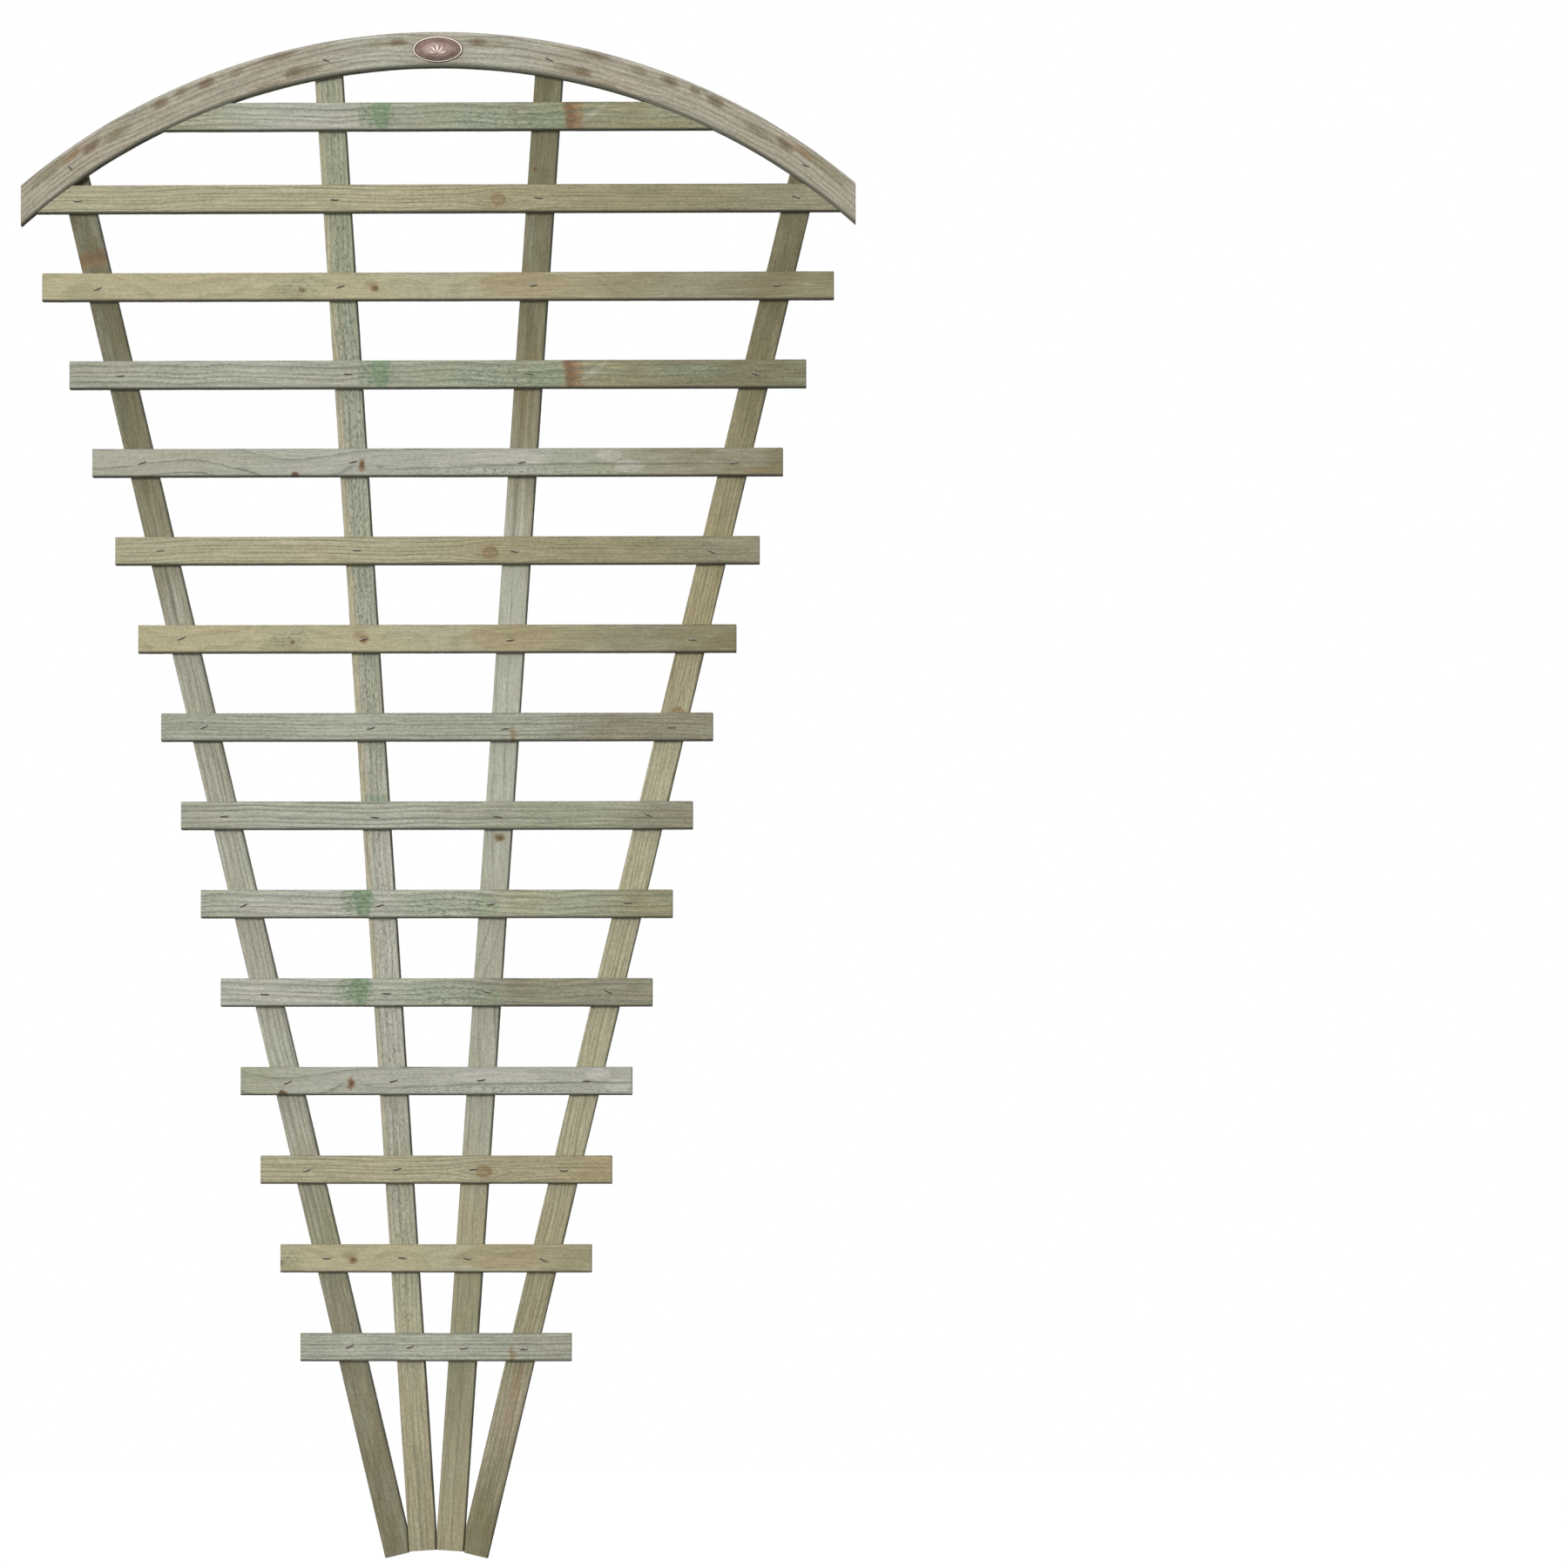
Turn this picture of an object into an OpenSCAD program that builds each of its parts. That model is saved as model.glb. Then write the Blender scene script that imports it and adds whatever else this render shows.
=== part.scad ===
// Fan trellis with an arched top rail, in pressure-treated softwood.
// Four uprights fan out from one foot. Level slats and the curved rail lie in
// front of them, stapled at every crossing.
// The front faces -Y and +Z is up. The origin is on the ground, on the middle
// line, in the plane where the slats meet the uprights. Lengths are in mm.

/* [Fan] */
// Height of the top rail's crown above the ground
height = 1830; // [1520:10:2200]
// Width over the cut ends of the top rail
span = 1003; // [830:1:1210]
// Distance from each end of the rail to the outer upright's middle line
end_inset = 65; // [50:1:80]
// Distance of an inner upright's middle line from the centre, at crown height
inner_top = 136; // [100:1:170]
// Distance of an outer upright's middle line from the centre, on the ground
outer_foot = 43.7; // [40:0.1:60]
// Distance of an inner upright's middle line from the centre, on the ground
inner_foot = 15.2; // [12:0.1:20]
// Height of the inner uprights' ends above the ground
inner_lift = 8; // [0:1:15]

/* [Top rail] */
// Height from the rail's outer ends up to its crown
rail_rise = 183.5; // [140:0.5:225]
// Depth of the rail at its crown
rail_depth = 43; // [34:1:52]
// Upright depth of the rail at its cut ends
rail_end_depth = 50; // [42:1:60]
// Distance that the uprights' tops stay inside the rail's outer edge
top_margin = 6; // [3:1:12]

/* [Boards] */
// Width of every slat and upright
board_w = 34; // [28:0.5:42]
// Thickness of the slats and the top rail
front_t = 19; // [15:0.5:24]
// Thickness of the uprights
back_t = 19; // [15:0.5:24]
// Width of the eased arrises
arris = 2; // [0.5:0.5:4]

/* [Slats] */
// Distance from the crown down to the middle of the top slat
top_drop = 102; // [80:1:125]
// Distance between the middles of the top two slats
top_gap = 99; // [80:1:120]
// Height of the middle of the lowest slat
lowest_slat = 252; // [200:1:310]

/* [Staples] */
// Width of a staple's crown
crown_w = 9.5; // [7.5:0.5:11.5]
// Diameter of the staple wire
wire_d = 1.2; // [1:0.1:1.5]
// Depth that a staple's legs bite into the second board
bite = 13; // [10:0.5:14.5]

/* [Maker's plate] */
// Width of the oval plate
plate_w = 60; // [48:1:72]
// Height of the oval plate
plate_h = 32; // [26:1:36]
// Thickness of the plate
plate_t = 1; // [0.8:0.1:1.2]
// Width of its raised rim
rim_w = 2.2; // [1.5:0.1:3]
// Height of the rim and the stamped leaves above the plate
relief = 0.8; // [0.4:0.1:1]

/* [Hidden] */
// clearances
scribe_gap = 0.3;      // slat end to the rail's lower edge
foot_gap = 0.3;        // upright to upright at the foot
cut_over = 1;          // a cutting tool runs this far past a face

// the slats: rows are counted from the top
rows = 15;
top_slat = height - top_drop;
second_slat = top_slat - top_gap;
pitch = (second_slat - lowest_slat) / (rows - 2);
// the top rows, whose ends are cut to the curve of the rail
scribed_rows = 2;
// how far a slat runs past the outer uprights, at four rows down the fan
OVERHANGS = [[3, 51], [4, 43], [8, 32.5], [15, 40.5]];

// the rail's outer and lower edges are arcs about two different centres
rail_end = height - rail_rise;
outer_r = arc_radius(rail_rise);
outer_c = height - outer_r;
lower_rise = rail_rise - rail_depth + rail_end_depth;
lower_r = arc_radius(lower_rise);
lower_c = height - rail_depth - lower_r;

// the uprights, left to right: 0 and 3 are the outer pair
OUTER = [true, false, false, true];
SIDE = [-1, -1, 1, 1];
UPRIGHTS = ["upright_outer_left", "upright_inner_left",
            "upright_inner_right", "upright_outer_right"];
outer_lean = atan((span / 2 - end_inset - outer_foot) / rail_end);
inner_lean = atan((inner_top - inner_foot) / height);

// the staple gun is turned one of two ways along a slat
TILTS = [[22, 15, 7, -1], [1, -4, -12, -23]];
ROW_TILT = [1, 0, 1, 0, 1, 0, 0, 1, 0, 1, 0, 0, 1, 0];
rail_tilt = -22;
scatter = 1.5;         // how far a staple strays from the crossing's middle

// the maker's plate
slot_x = 0.35 * plate_w;
slot_h = 5;
prong_w = 4;
prong_t = 0.8;
prong_len = 8;
bead_d = 1.6;
beads = 9;
bead_arc = [234, 306];                          // first and last bead, in degrees
bead_ring = [0.37 * plate_w, 0.35 * plate_h];   // half-axes of the beads' oval
leaf_size = [0.42 * plate_h, 0.13 * plate_h];
leaf_root = -0.16 * plate_h;
leaf_start = 1;                                 // bare stalk before each leaf
LEAF_TURNS = [90, 50, 130, 14, 166];

// sides of the round shapes
ARC_SIDES = 720;
LEAF_SIDES = 96;
WIRE_SIDES = 24;

TREATED = [0.62, 0.61, 0.50];
TREATED_DARK = [0.52, 0.51, 0.42];
STEEL = [0.78, 0.78, 0.76];
BRONZE = [0.60, 0.50, 0.45];

// radius of an arc that spans the rail's width and rises by the given amount
function arc_radius(rise) = (pow(span / 2, 2) + pow(rise, 2)) / (2 * rise);

function slat_name(row) = str("slat_", row < 10 ? "0" : "", row);
function slat_z(row) = row == 1 ? top_slat : second_slat - (row - 2) * pitch;
function lean(k) = OUTER[k] ? outer_lean : inner_lean;
function foot_x(k) = OUTER[k] ? outer_foot : inner_foot;

// an upright's middle line at a height, on its own side of the fan
function middle_x(k, z) = foot_x(k) + z * tan(lean(k));

// the slats are longer than the fan is wide by their overhang at both ends
function half_length(row) =
    row <= scribed_rows
    ? span / 2
    : middle_x(0, slat_z(row)) + board_w / 2 / cos(outer_lean) + lookup(row, OVERHANGS);

// distance up a leaning line from its foot to a circle about [0, c]
function reach(x, z, a, c, r) =
    let (b = x * sin(a) + (z - c) * cos(a))
    -b + sqrt(b * b - x * x - pow(z - c, 2) + r * r);

// distance up an upright's middle line to the middle of the rail
function rail_crossing(k) =
    (reach(foot_x(k), 0, lean(k), outer_c, outer_r)
     + reach(foot_x(k), 0, lean(k), lower_c, lower_r)) / 2;

// distance up the middle line to the square-cut foot, whose low corner is
// on the ground for the outer pair and just above it for the inner pair
function foot_cut(k) =
    (board_w / 2 * sin(lean(k)) + (OUTER[k] ? 0 : inner_lift)) / cos(lean(k));

// distance up the middle line to the square-cut top, behind the rail
function top_cut(k) =
    min([for (side = [-1, 1])
         reach(foot_x(k) + side * board_w / 2 * cos(lean(k)),
               -side * board_w / 2 * sin(lean(k)),
               lean(k), outer_c, outer_r - top_margin)]);

function stray(n) = scatter * sin(97 * n);
function crossing(row, k) =
    [SIDE[k] * middle_x(k, slat_z(row)) + stray(row + 4 * k),
     slat_z(row) + stray(7 * row + 3 * k)];
function on_rail(k) =
    [SIDE[k] * (foot_x(k) + rail_crossing(k) * sin(lean(k))),
     rail_crossing(k) * cos(lean(k))];

// a board's section, with its four long arrises eased
module board_section(w, t) {
    polygon([[-w / 2 + arris, -t / 2], [w / 2 - arris, -t / 2],
             [w / 2, -t / 2 + arris], [w / 2, t / 2 - arris],
             [w / 2 - arris, t / 2], [-w / 2 + arris, t / 2],
             [-w / 2, t / 2 - arris], [-w / 2, -t / 2 + arris]]);
}

// a disc lying in the front layer, about [0, c], from face to face
module front_disc(c, r) {
    translate([0, 0, c])
        rotate([90, 0, 0])
            cylinder(h = front_t, r = r, $fn = ARC_SIDES);
}

module slat_blank(row) {
    translate([-half_length(row), -front_t / 2, slat_z(row)])
        rotate([90, 0, 90])
            linear_extrude(2 * half_length(row))
                rotate(90)
                    board_section(board_w, front_t);
}

// an upright on the right-hand side, before its foot is fitted
module upright_blank(k) {
    translate([foot_x(k), back_t / 2, 0])
        rotate([0, lean(k), 0])
            translate([0, 0, foot_cut(k)])
                linear_extrude(top_cut(k) - foot_cut(k))
                    board_section(board_w, back_t);
}

// what an upright leaves to its inner neighbour at the crowded foot
module foot_room(k) {
    reach_up = 2 * rail_end;
    if (OUTER[k])
        translate([inner_foot, 0, 0])
            rotate([0, inner_lean, 0])
                translate([board_w / 2 + foot_gap - reach_up, -cut_over, -reach_up / 2])
                    cube([reach_up, back_t + 2 * cut_over, reach_up]);
    else
        translate([foot_gap / 2 - reach_up, -cut_over, -reach_up / 2])
            cube([reach_up, back_t + 2 * cut_over, reach_up]);
}

// one staple in its own frame: crown along X, legs along +Y, half of the
// crown's wire standing proud of the board's face
module staple(first_t) {
    half = (crown_w - wire_d) / 2;
    rotate([0, 90, 0])
        cylinder(h = 2 * half, d = wire_d, center = true, $fn = WIRE_SIDES);
    for (side = [-1, 1])
        translate([side * half, 0, 0]) {
            sphere(d = wire_d, $fn = WIRE_SIDES);
            rotate([-90, 0, 0])
                cylinder(h = first_t + bite, d = wire_d, $fn = WIRE_SIDES);
        }
}

module slat_staple(row, k) {
    p = crossing(row, k);
    translate([p[0], -front_t, p[1]])
        rotate([0, -TILTS[ROW_TILT[row - scribed_rows]][k], 0])
            staple(front_t);
}

module rail_staple(k) {
    p = on_rail(k);
    translate([p[0], -front_t, p[1]])
        rotate([0, -rail_tilt, 0])
            staple(front_t);
}

// the top slat is held from behind, through the inner uprights, by staples
// driven flush, so that the back lies flat against a wall
module back_staple(k) {
    p = crossing(1, k);
    translate([p[0], back_t - wire_d / 2, p[1]])
        rotate([0, 0, 180])
            staple(back_t);
}

module upright(k) {
    color(TREATED_DARK)
        difference() {
            to_side(k)
                difference() {
                    upright_blank(k);
                    foot_room(k);
                }
            for (row = [scribed_rows:rows])
                slat_staple(row, k);
            rail_staple(k);
            if (!OUTER[k])
                back_staple(k);
        }
}

// the left-hand uprights are the right-hand ones in a mirror
module to_side(k) {
    if (SIDE[k] < 0)
        mirror([1, 0, 0])
            children();
    else
        children();
}

module slat(row) {
    color(TREATED)
        difference() {
            if (row <= scribed_rows)
                intersection() {
                    slat_blank(row);
                    front_disc(lower_c, lower_r - scribe_gap);
                }
            else
                slat_blank(row);
            for (k = [0:3])
                if (row == 1) {
                    if (!OUTER[k])
                        back_staple(k);
                }
                else
                    slat_staple(row, k);
        }
}

// the outer edge of the rail is turned with both arrises eased
module rail_disc() {
    translate([0, 0, outer_c])
        rotate([90, 0, 0])
            rotate_extrude($fn = ARC_SIDES)
                polygon([[0, 0], [outer_r - arris, 0], [outer_r, arris],
                         [outer_r, front_t - arris], [outer_r - arris, front_t],
                         [0, front_t]]);
}

// the cutter for the lower edge flares at both faces, which eases the arrises
module lower_cutter() {
    flare = arris + cut_over;
    translate([0, cut_over, lower_c])
        rotate([90, 0, 0])
            rotate_extrude($fn = ARC_SIDES)
                polygon([[0, 0], [lower_r + flare, 0], [lower_r, flare],
                         [lower_r, front_t + 2 * cut_over - flare],
                         [lower_r + flare, front_t + 2 * cut_over],
                         [0, front_t + 2 * cut_over]]);
}

module arch_rail() {
    color(TREATED)
        difference() {
            intersection() {
                rail_disc();
                translate([-span / 2, -front_t - cut_over, rail_end - rail_end_depth - cut_over])
                    cube([span, front_t + 2 * cut_over, height]);
            }
            lower_cutter();
            for (k = [0:3])
                rail_staple(k);
            plate_prongs();
        }
}

module slat_staples() {
    color(STEEL)
        for (row = [scribed_rows:rows], k = [0:3])
            slat_staple(row, k);
}

module arch_staples() {
    color(STEEL)
        for (k = [0:3])
            rail_staple(k);
}

module back_staples() {
    color(STEEL)
        for (k = [1:2])
            back_staple(k);
}

// everything on the plate is drawn in its own frame: X right, Y up, Z out
module on_plate() {
    translate([0, -front_t, height - rail_depth / 2])
        rotate([90, 0, 0])
            children();
}

module oval(inset) {
    polygon([for (turn = [0:5:355])
             [(plate_w / 2 - inset) * cos(turn), (plate_h / 2 - inset) * sin(turn)]]);
}

// a leaf between two arcs, from the origin along +X
module leaf(long, wide) {
    r = (pow(long / 2, 2) + pow(wide / 2, 2)) / wide;
    translate([long / 2, 0])
        intersection() {
            translate([0, r - wide / 2])
                circle(r, $fn = LEAF_SIDES);
            translate([0, wide / 2 - r])
                circle(r, $fn = LEAF_SIDES);
        }
}

// five leaves spread from one point, with a row of beads below
module sprig() {
    for (turn = LEAF_TURNS)
        translate([0, leaf_root])
            rotate(turn)
                translate([leaf_start, 0])
                    leaf(leaf_size[0], leaf_size[1]);
    for (n = [0:beads - 1])
        let (turn = bead_arc[0] + (bead_arc[1] - bead_arc[0]) * n / (beads - 1))
            translate([bead_ring[0] * cos(turn), bead_ring[1] * sin(turn)])
                circle(d = bead_d, $fn = WIRE_SIDES);
}

module plate_prongs() {
    on_plate()
        for (side = [-1, 1])
            translate([side * slot_x - prong_t / 2, -prong_w / 2, -prong_len])
                cube([prong_t, prong_w, prong_len + plate_t]);
}

module badge() {
    color(BRONZE) {
        on_plate()
            difference() {
                linear_extrude(plate_t)
                    oval(0);
                for (side = [-1, 1])
                    translate([side * (slot_x + prong_t) - prong_t / 2, -slot_h / 2, -cut_over])
                        cube([prong_t, slot_h, plate_t + 2 * cut_over]);
            }
        on_plate()
            linear_extrude(plate_t + relief)
                difference() {
                    oval(0);
                    oval(rim_w);
                }
        on_plate()
            linear_extrude(plate_t + relief)
                sprig();
        plate_prongs();
    }
}

for (k = [0:3])
    upright(k);
for (row = [1:rows])
    slat(row);
arch_rail();
slat_staples();
arch_staples();
back_staples();
badge();
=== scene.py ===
# %% [markdown]
# # A fan trellis in pressure-treated softwood
#
# The real thing is a flat garden panel: four uprights that spread like a fan,
# fifteen level slats across them, and a curved rail over the top. Everything
# is stapled lath, green-grey from its preservative and matt from the planer.
#
# The CAD model already holds the true sizes. Blender's share is the timber:
# boards with eased arrises, growth rings, knots and dents. So the first step
# loads the CAD model, and every later size is read from it.

# %% Load the frame
import math

import bmesh
import bpy
import numpy as np
from mathutils import Matrix, Vector


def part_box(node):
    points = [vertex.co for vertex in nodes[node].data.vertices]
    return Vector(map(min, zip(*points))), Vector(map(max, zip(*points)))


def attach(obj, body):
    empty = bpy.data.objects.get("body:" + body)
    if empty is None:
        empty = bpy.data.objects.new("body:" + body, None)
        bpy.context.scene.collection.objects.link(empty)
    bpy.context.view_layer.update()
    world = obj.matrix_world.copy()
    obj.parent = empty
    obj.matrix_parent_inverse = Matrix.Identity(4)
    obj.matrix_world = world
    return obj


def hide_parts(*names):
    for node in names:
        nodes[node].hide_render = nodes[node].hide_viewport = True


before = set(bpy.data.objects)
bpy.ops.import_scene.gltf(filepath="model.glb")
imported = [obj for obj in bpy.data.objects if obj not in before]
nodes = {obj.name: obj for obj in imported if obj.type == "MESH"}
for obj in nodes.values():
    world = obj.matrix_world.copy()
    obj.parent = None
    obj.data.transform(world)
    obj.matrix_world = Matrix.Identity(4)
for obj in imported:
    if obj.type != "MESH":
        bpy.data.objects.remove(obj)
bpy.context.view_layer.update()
MM = 0.001

# %% [markdown]
# ## The camera
#
# A panel as tall as a person is shown best from far off with a long lens, which
# keeps level slats level. The camera stands a little low and a little to the
# right, so a thin strip of each board's underside and right side shows, which
# is what tells the eye how thick the lath is.

# %% Camera
VIEW_WIDTH = 1.875
SENSOR_MM = 36
aim = Vector((0.416, -0.019, 0.9245))
stand = Vector((0.75, -12.0, 0.35))

camera_data = bpy.data.cameras.new("camera")
camera_data.sensor_width = SENSOR_MM
camera_data.lens = SENSOR_MM * (aim - stand).length / VIEW_WIDTH
camera_data.clip_end = 200
camera = bpy.data.objects.new("camera", camera_data)
camera.location = stand
camera.rotation_euler = (aim - stand).to_track_quat("-Z", "Y").to_euler()
bpy.context.scene.collection.objects.link(camera)
bpy.context.scene.camera = camera
print("lens:", round(camera_data.lens), "mm, at", round((aim - stand).length, 2), "m")

# %% [markdown]
# ## Colours and nodes
#
# Colours are easiest to name in sRGB, as a paint chart does, but the shaders
# work in linear light, so one function turns a hex value round. One more adds
# a node with its settings and links, which keeps each material readable. Two
# small ones start a material and put an object into the scene.

# %% Helpers for materials
def linear(hex_colour, alpha=1.0):
    """An sRGB hex colour as the linear RGBA that a shader socket holds."""
    parts = [int(hex_colour[i:i + 2], 16) / 255 for i in (1, 3, 5)]
    turned = [p / 12.92 if p <= 0.04045 else ((p + 0.055) / 1.055) ** 2.4 for p in parts]
    return (*turned, alpha)


def add(tree, kind, sockets=None, stops=None, **settings):
    """One shader node, with its settings, its values or links, and a ramp's stops."""
    made = tree.nodes.new("ShaderNode" + kind)
    for name, value in settings.items():
        setattr(made, name, value)
    if stops:
        ramp = made.color_ramp
        while len(ramp.elements) < len(stops):
            ramp.elements.new(0.5)
        for element, (place, colour) in zip(ramp.elements, sorted(stops)):
            element.position = place
            element.color = colour
    for name, value in (sockets or {}).items():
        if isinstance(value, bpy.types.NodeSocket):
            tree.links.new(value, made.inputs[name])
        else:
            made.inputs[name].default_value = value
    return made


def grey(value):
    """A grey for a ramp that carries a number."""
    return (value, value, value, 1.0)


def new_material(name):
    """An empty material, and the tree that its nodes go into."""
    made = bpy.data.materials.new(name)
    made.use_nodes = True
    made.node_tree.nodes.clear()
    return made, made.node_tree


def show(made):
    """Link an object to the scene and hand it back."""
    bpy.context.scene.collection.objects.link(made)
    return made


# %% [markdown]
# ## Soft studio light
#
# The surroundings are white to the camera. As a light source they are bright
# in front, above and to the left, and dim below and to the right, like a room
# with one big window. That keeps the faces even and leaves undersides and
# right-hand sides dark. A soft-edged lamp near the camera adds direction, and
# a very broad one stands behind for anyone who walks round the panel.

# %% World and lamps
GLOW_FROM = (-34, 30)
GLOW_DIM, GLOW_BRIGHT = 0.34, 0.50
GLOW_ENDS = -0.25
# each lamp: where it stands (turned, raised), its strength and its spread, in degrees
LAMPS = {
    "key": ((-18, 4), 2.62, 12),
    "rear": ((-168, 22), 2.50, 60),
}


def direction(turn, rise):
    """The unit vector towards a lamp, turned from the front and raised, in degrees."""
    turn, rise = math.radians(turn), math.radians(rise)
    return Vector((math.sin(turn) * math.cos(rise), -math.cos(turn) * math.cos(rise),
                   math.sin(rise)))


world = bpy.data.worlds.new("studio")
bpy.context.scene.world = world
world.use_nodes = True
tree = world.node_tree
tree.nodes.clear()
facing = add(tree, "TexCoord").outputs["Generated"]
towards_glow = add(tree, "VectorMath", {0: facing, 1: direction(*GLOW_FROM)},
                   operation="DOT_PRODUCT").outputs["Value"]
glow = add(tree, "MapRange", {"Value": towards_glow, "From Min": GLOW_ENDS,
           "From Max": 1.0, "To Min": GLOW_DIM, "To Max": GLOW_BRIGHT}).outputs[0]
seen = add(tree, "LightPath").outputs["Is Camera Ray"]
level = add(tree, "Mix", {0: seen, 2: glow, 3: 1.0}).outputs[0]
sky = add(tree, "Background", {"Color": grey(1.0), "Strength": level})
add(tree, "OutputWorld", {"Surface": sky.outputs[0]})

for name, (place_of, strength, spread) in LAMPS.items():
    lamp_data = bpy.data.lights.new(name, "SUN")
    lamp_data.energy = strength
    lamp_data.angle = math.radians(spread)
    lamp = show(bpy.data.objects.new(name, lamp_data))
    lamp.rotation_euler = direction(*place_of).to_track_quat("Z", "Y").to_euler()

# %% [markdown]
# ## The floor
#
# A plain pale disc. To the camera it is almost as white as the backdrop, with
# a trace of shadow at the feet. As a source of bounced light it is dim, or it
# would light the undersides.

# %% Floor
FLOOR_RADIUS = 5.0
FLOOR_SEEN = 0.98
FLOOR_BOUNCE = 0.10
FLOOR_GLOW = 1.06
GLOW_SHARE = 0.92
floor_bm = bmesh.new()
bmesh.ops.create_circle(floor_bm, cap_ends=True, radius=FLOOR_RADIUS, segments=96)
floor_mesh = bpy.data.meshes.new("floor")
floor_bm.to_mesh(floor_mesh)
floor_bm.free()
floor = show(bpy.data.objects.new("floor", floor_mesh))

floor_paint, tree = new_material("pale_studio_floor")
seen = add(tree, "LightPath").outputs["Is Camera Ray"]
dim = add(tree, "BsdfDiffuse", {"Color": grey(FLOOR_BOUNCE)})
pale = add(tree, "BsdfDiffuse", {"Color": grey(FLOOR_SEEN)})
white = add(tree, "Emission", {"Color": grey(1.0), "Strength": FLOOR_GLOW})
bright = add(tree, "MixShader", {0: GLOW_SHARE, 1: pale.outputs[0], 2: white.outputs[0]})
both = add(tree, "MixShader", {0: seen, 1: dim.outputs[0], 2: bright.outputs[0]})
add(tree, "OutputMaterial", {"Surface": both.outputs[0]})
floor_mesh.materials.append(floor_paint)
bpy.context.scene.view_settings.view_transform = "Standard"
print("floor radius:", FLOOR_RADIUS, "m; lamps:", ", ".join(LAMPS))

# %% [markdown]
# ## How a board is made
#
# A planed board is a long box with its four arrises rounded. It starts as a
# cube whose edges are subdivided into a fine net, one direction at a time.
# The net's lines are then moved to where they are useful: close together at
# the arrises, evenly spread over the faces. Rounding is one more move of the
# same points, so the board stays a single closed skin of quads.
#
# The points keep their place along, across and through the board in an
# attribute. The wood pattern reads it, so the grain follows the timber even
# when the board leans or bends.

# %% A net of quads
ARRIS = 2.0
END_EASE = 0.4
ACROSS_FACES = 24
THROUGH_FACES = 5
ALONG_STEP = 4.5
TINY = 1e-6
LEVEL = 1e-4


def lines_across(size, inner, ease):
    """Where the net's lines lie over a width: even, with two more at each arris."""
    flat = np.linspace(ease - size / 2, size / 2 - ease, inner + 1)
    corner = ease * math.tan(math.pi / 8)
    return np.array([-size / 2, flat[0] - corner, *flat, flat[-1] + corner, size / 2])


def board_net(length, width, thick, ease=ARRIS):
    """The bmesh of a board along X, and its points (along, through, across) in mm."""
    rows = [
        np.array([0, END_EASE, *np.linspace(0, length, round(length / ALONG_STEP))[1:-1],
                  length - END_EASE, length]) - length / 2,
        lines_across(thick, THROUGH_FACES, ease),
        lines_across(width, ACROSS_FACES, ease),
    ]
    bm = bmesh.new()
    bmesh.ops.create_cube(bm, size=1)
    for axis in (2, 1, 0):
        lines = [e for e in bm.edges
                 if abs(e.verts[0].co[axis] - e.verts[1].co[axis]) > LEVEL]
        bmesh.ops.subdivide_edges(bm, edges=lines, cuts=len(rows[axis]) - 2,
                                  use_grid_fill=True)
    unit = np.array([v.co[:] for v in bm.verts])
    points = np.empty_like(unit)
    for axis, row in enumerate(rows):
        step = np.rint((unit[:, axis] + 0.5) * (len(row) - 1)).astype(int)
        points[:, axis] = row[step]
    return bm, points


# %% [markdown]
# ## Rounding the arrises
#
# Inside the corner squares of the section, each point is drawn in until the
# square outline becomes a quarter circle. What is left over is the direction
# in which each point faces outward, which the ridges and hollows need later.

# %% Round the arrises
def round_arrises(points, width, thick, ease=ARRIS):
    """Rounded points, and each one's outward direction (through, across)."""
    half = np.array([thick, width]) / 2
    section = points[:, 1:]
    centre = np.clip(section, ease - half, half - ease)
    arm = section - centre
    reach = np.hypot(*arm.T)
    square = np.abs(arm).max(axis=1)
    safe = np.where(reach > 0, reach, 1)
    rounded = points.copy()
    rounded[:, 1:] = centre + arm * (square / safe)[:, None]
    outside = (np.abs(section) > half - TINY).any(axis=1)
    outward = np.where(outside[:, None], arm / safe[:, None], 0)
    ends = np.abs(points[:, 0]) > np.abs(points[:, 0]).max() - TINY
    rounded[ends, 1:] *= 1 - END_EASE / half
    return rounded, outward


# %% [markdown]
# ## Growth rings
#
# A tree grows one ring a year around its pith, and a sawn face cuts through
# those rings, which is what draws the lines on it. The same is done here: a
# ring number is worked out from each point's distance to a pith that wanders
# slowly along the board. Near a knot the rings swell out round the branch.
#
# The ring number is stored on the points, so the material's dark lines and
# the mesh's low ridges are the same rings.

# %% Growth rings
WAVES = (1.0, 0.63, 0.41, 0.27)
SQUEEZE = 0.18
# a knot pushes the rings aside by so many mm, over so many of its own sizes
KNOT_SWELL = 7.0
KNOT_LONG, KNOT_HIGH = 3.2, 1.5
LATE_FROM, LATE_RISE, LATE_FALL = 0.45, 0.40, 0.10


def wander(seed, along, reach, span):
    """A slow wave along a board, in mm: four sines with their own seeded starts."""
    start = np.random.default_rng(seed).uniform(0, 2 * math.pi, 4)
    waves = [np.sin(2 * math.pi * along / (span * f) + s) / (n + 1)
             for n, (f, s) in enumerate(zip(WAVES, start))]
    return reach * sum(waves)


def follow(along, bends):
    """Where a smooth line through a few (along, across) points lies, in mm."""
    at, height = np.array(bends, float).T
    n = np.clip(np.searchsorted(at, along) - 1, 0, len(at) - 2)
    part = np.clip((along - at[n]) / (at[n + 1] - at[n]), 0, 1)
    return height[n] + (height[n + 1] - height[n]) * part * part * (3 - 2 * part)


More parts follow.
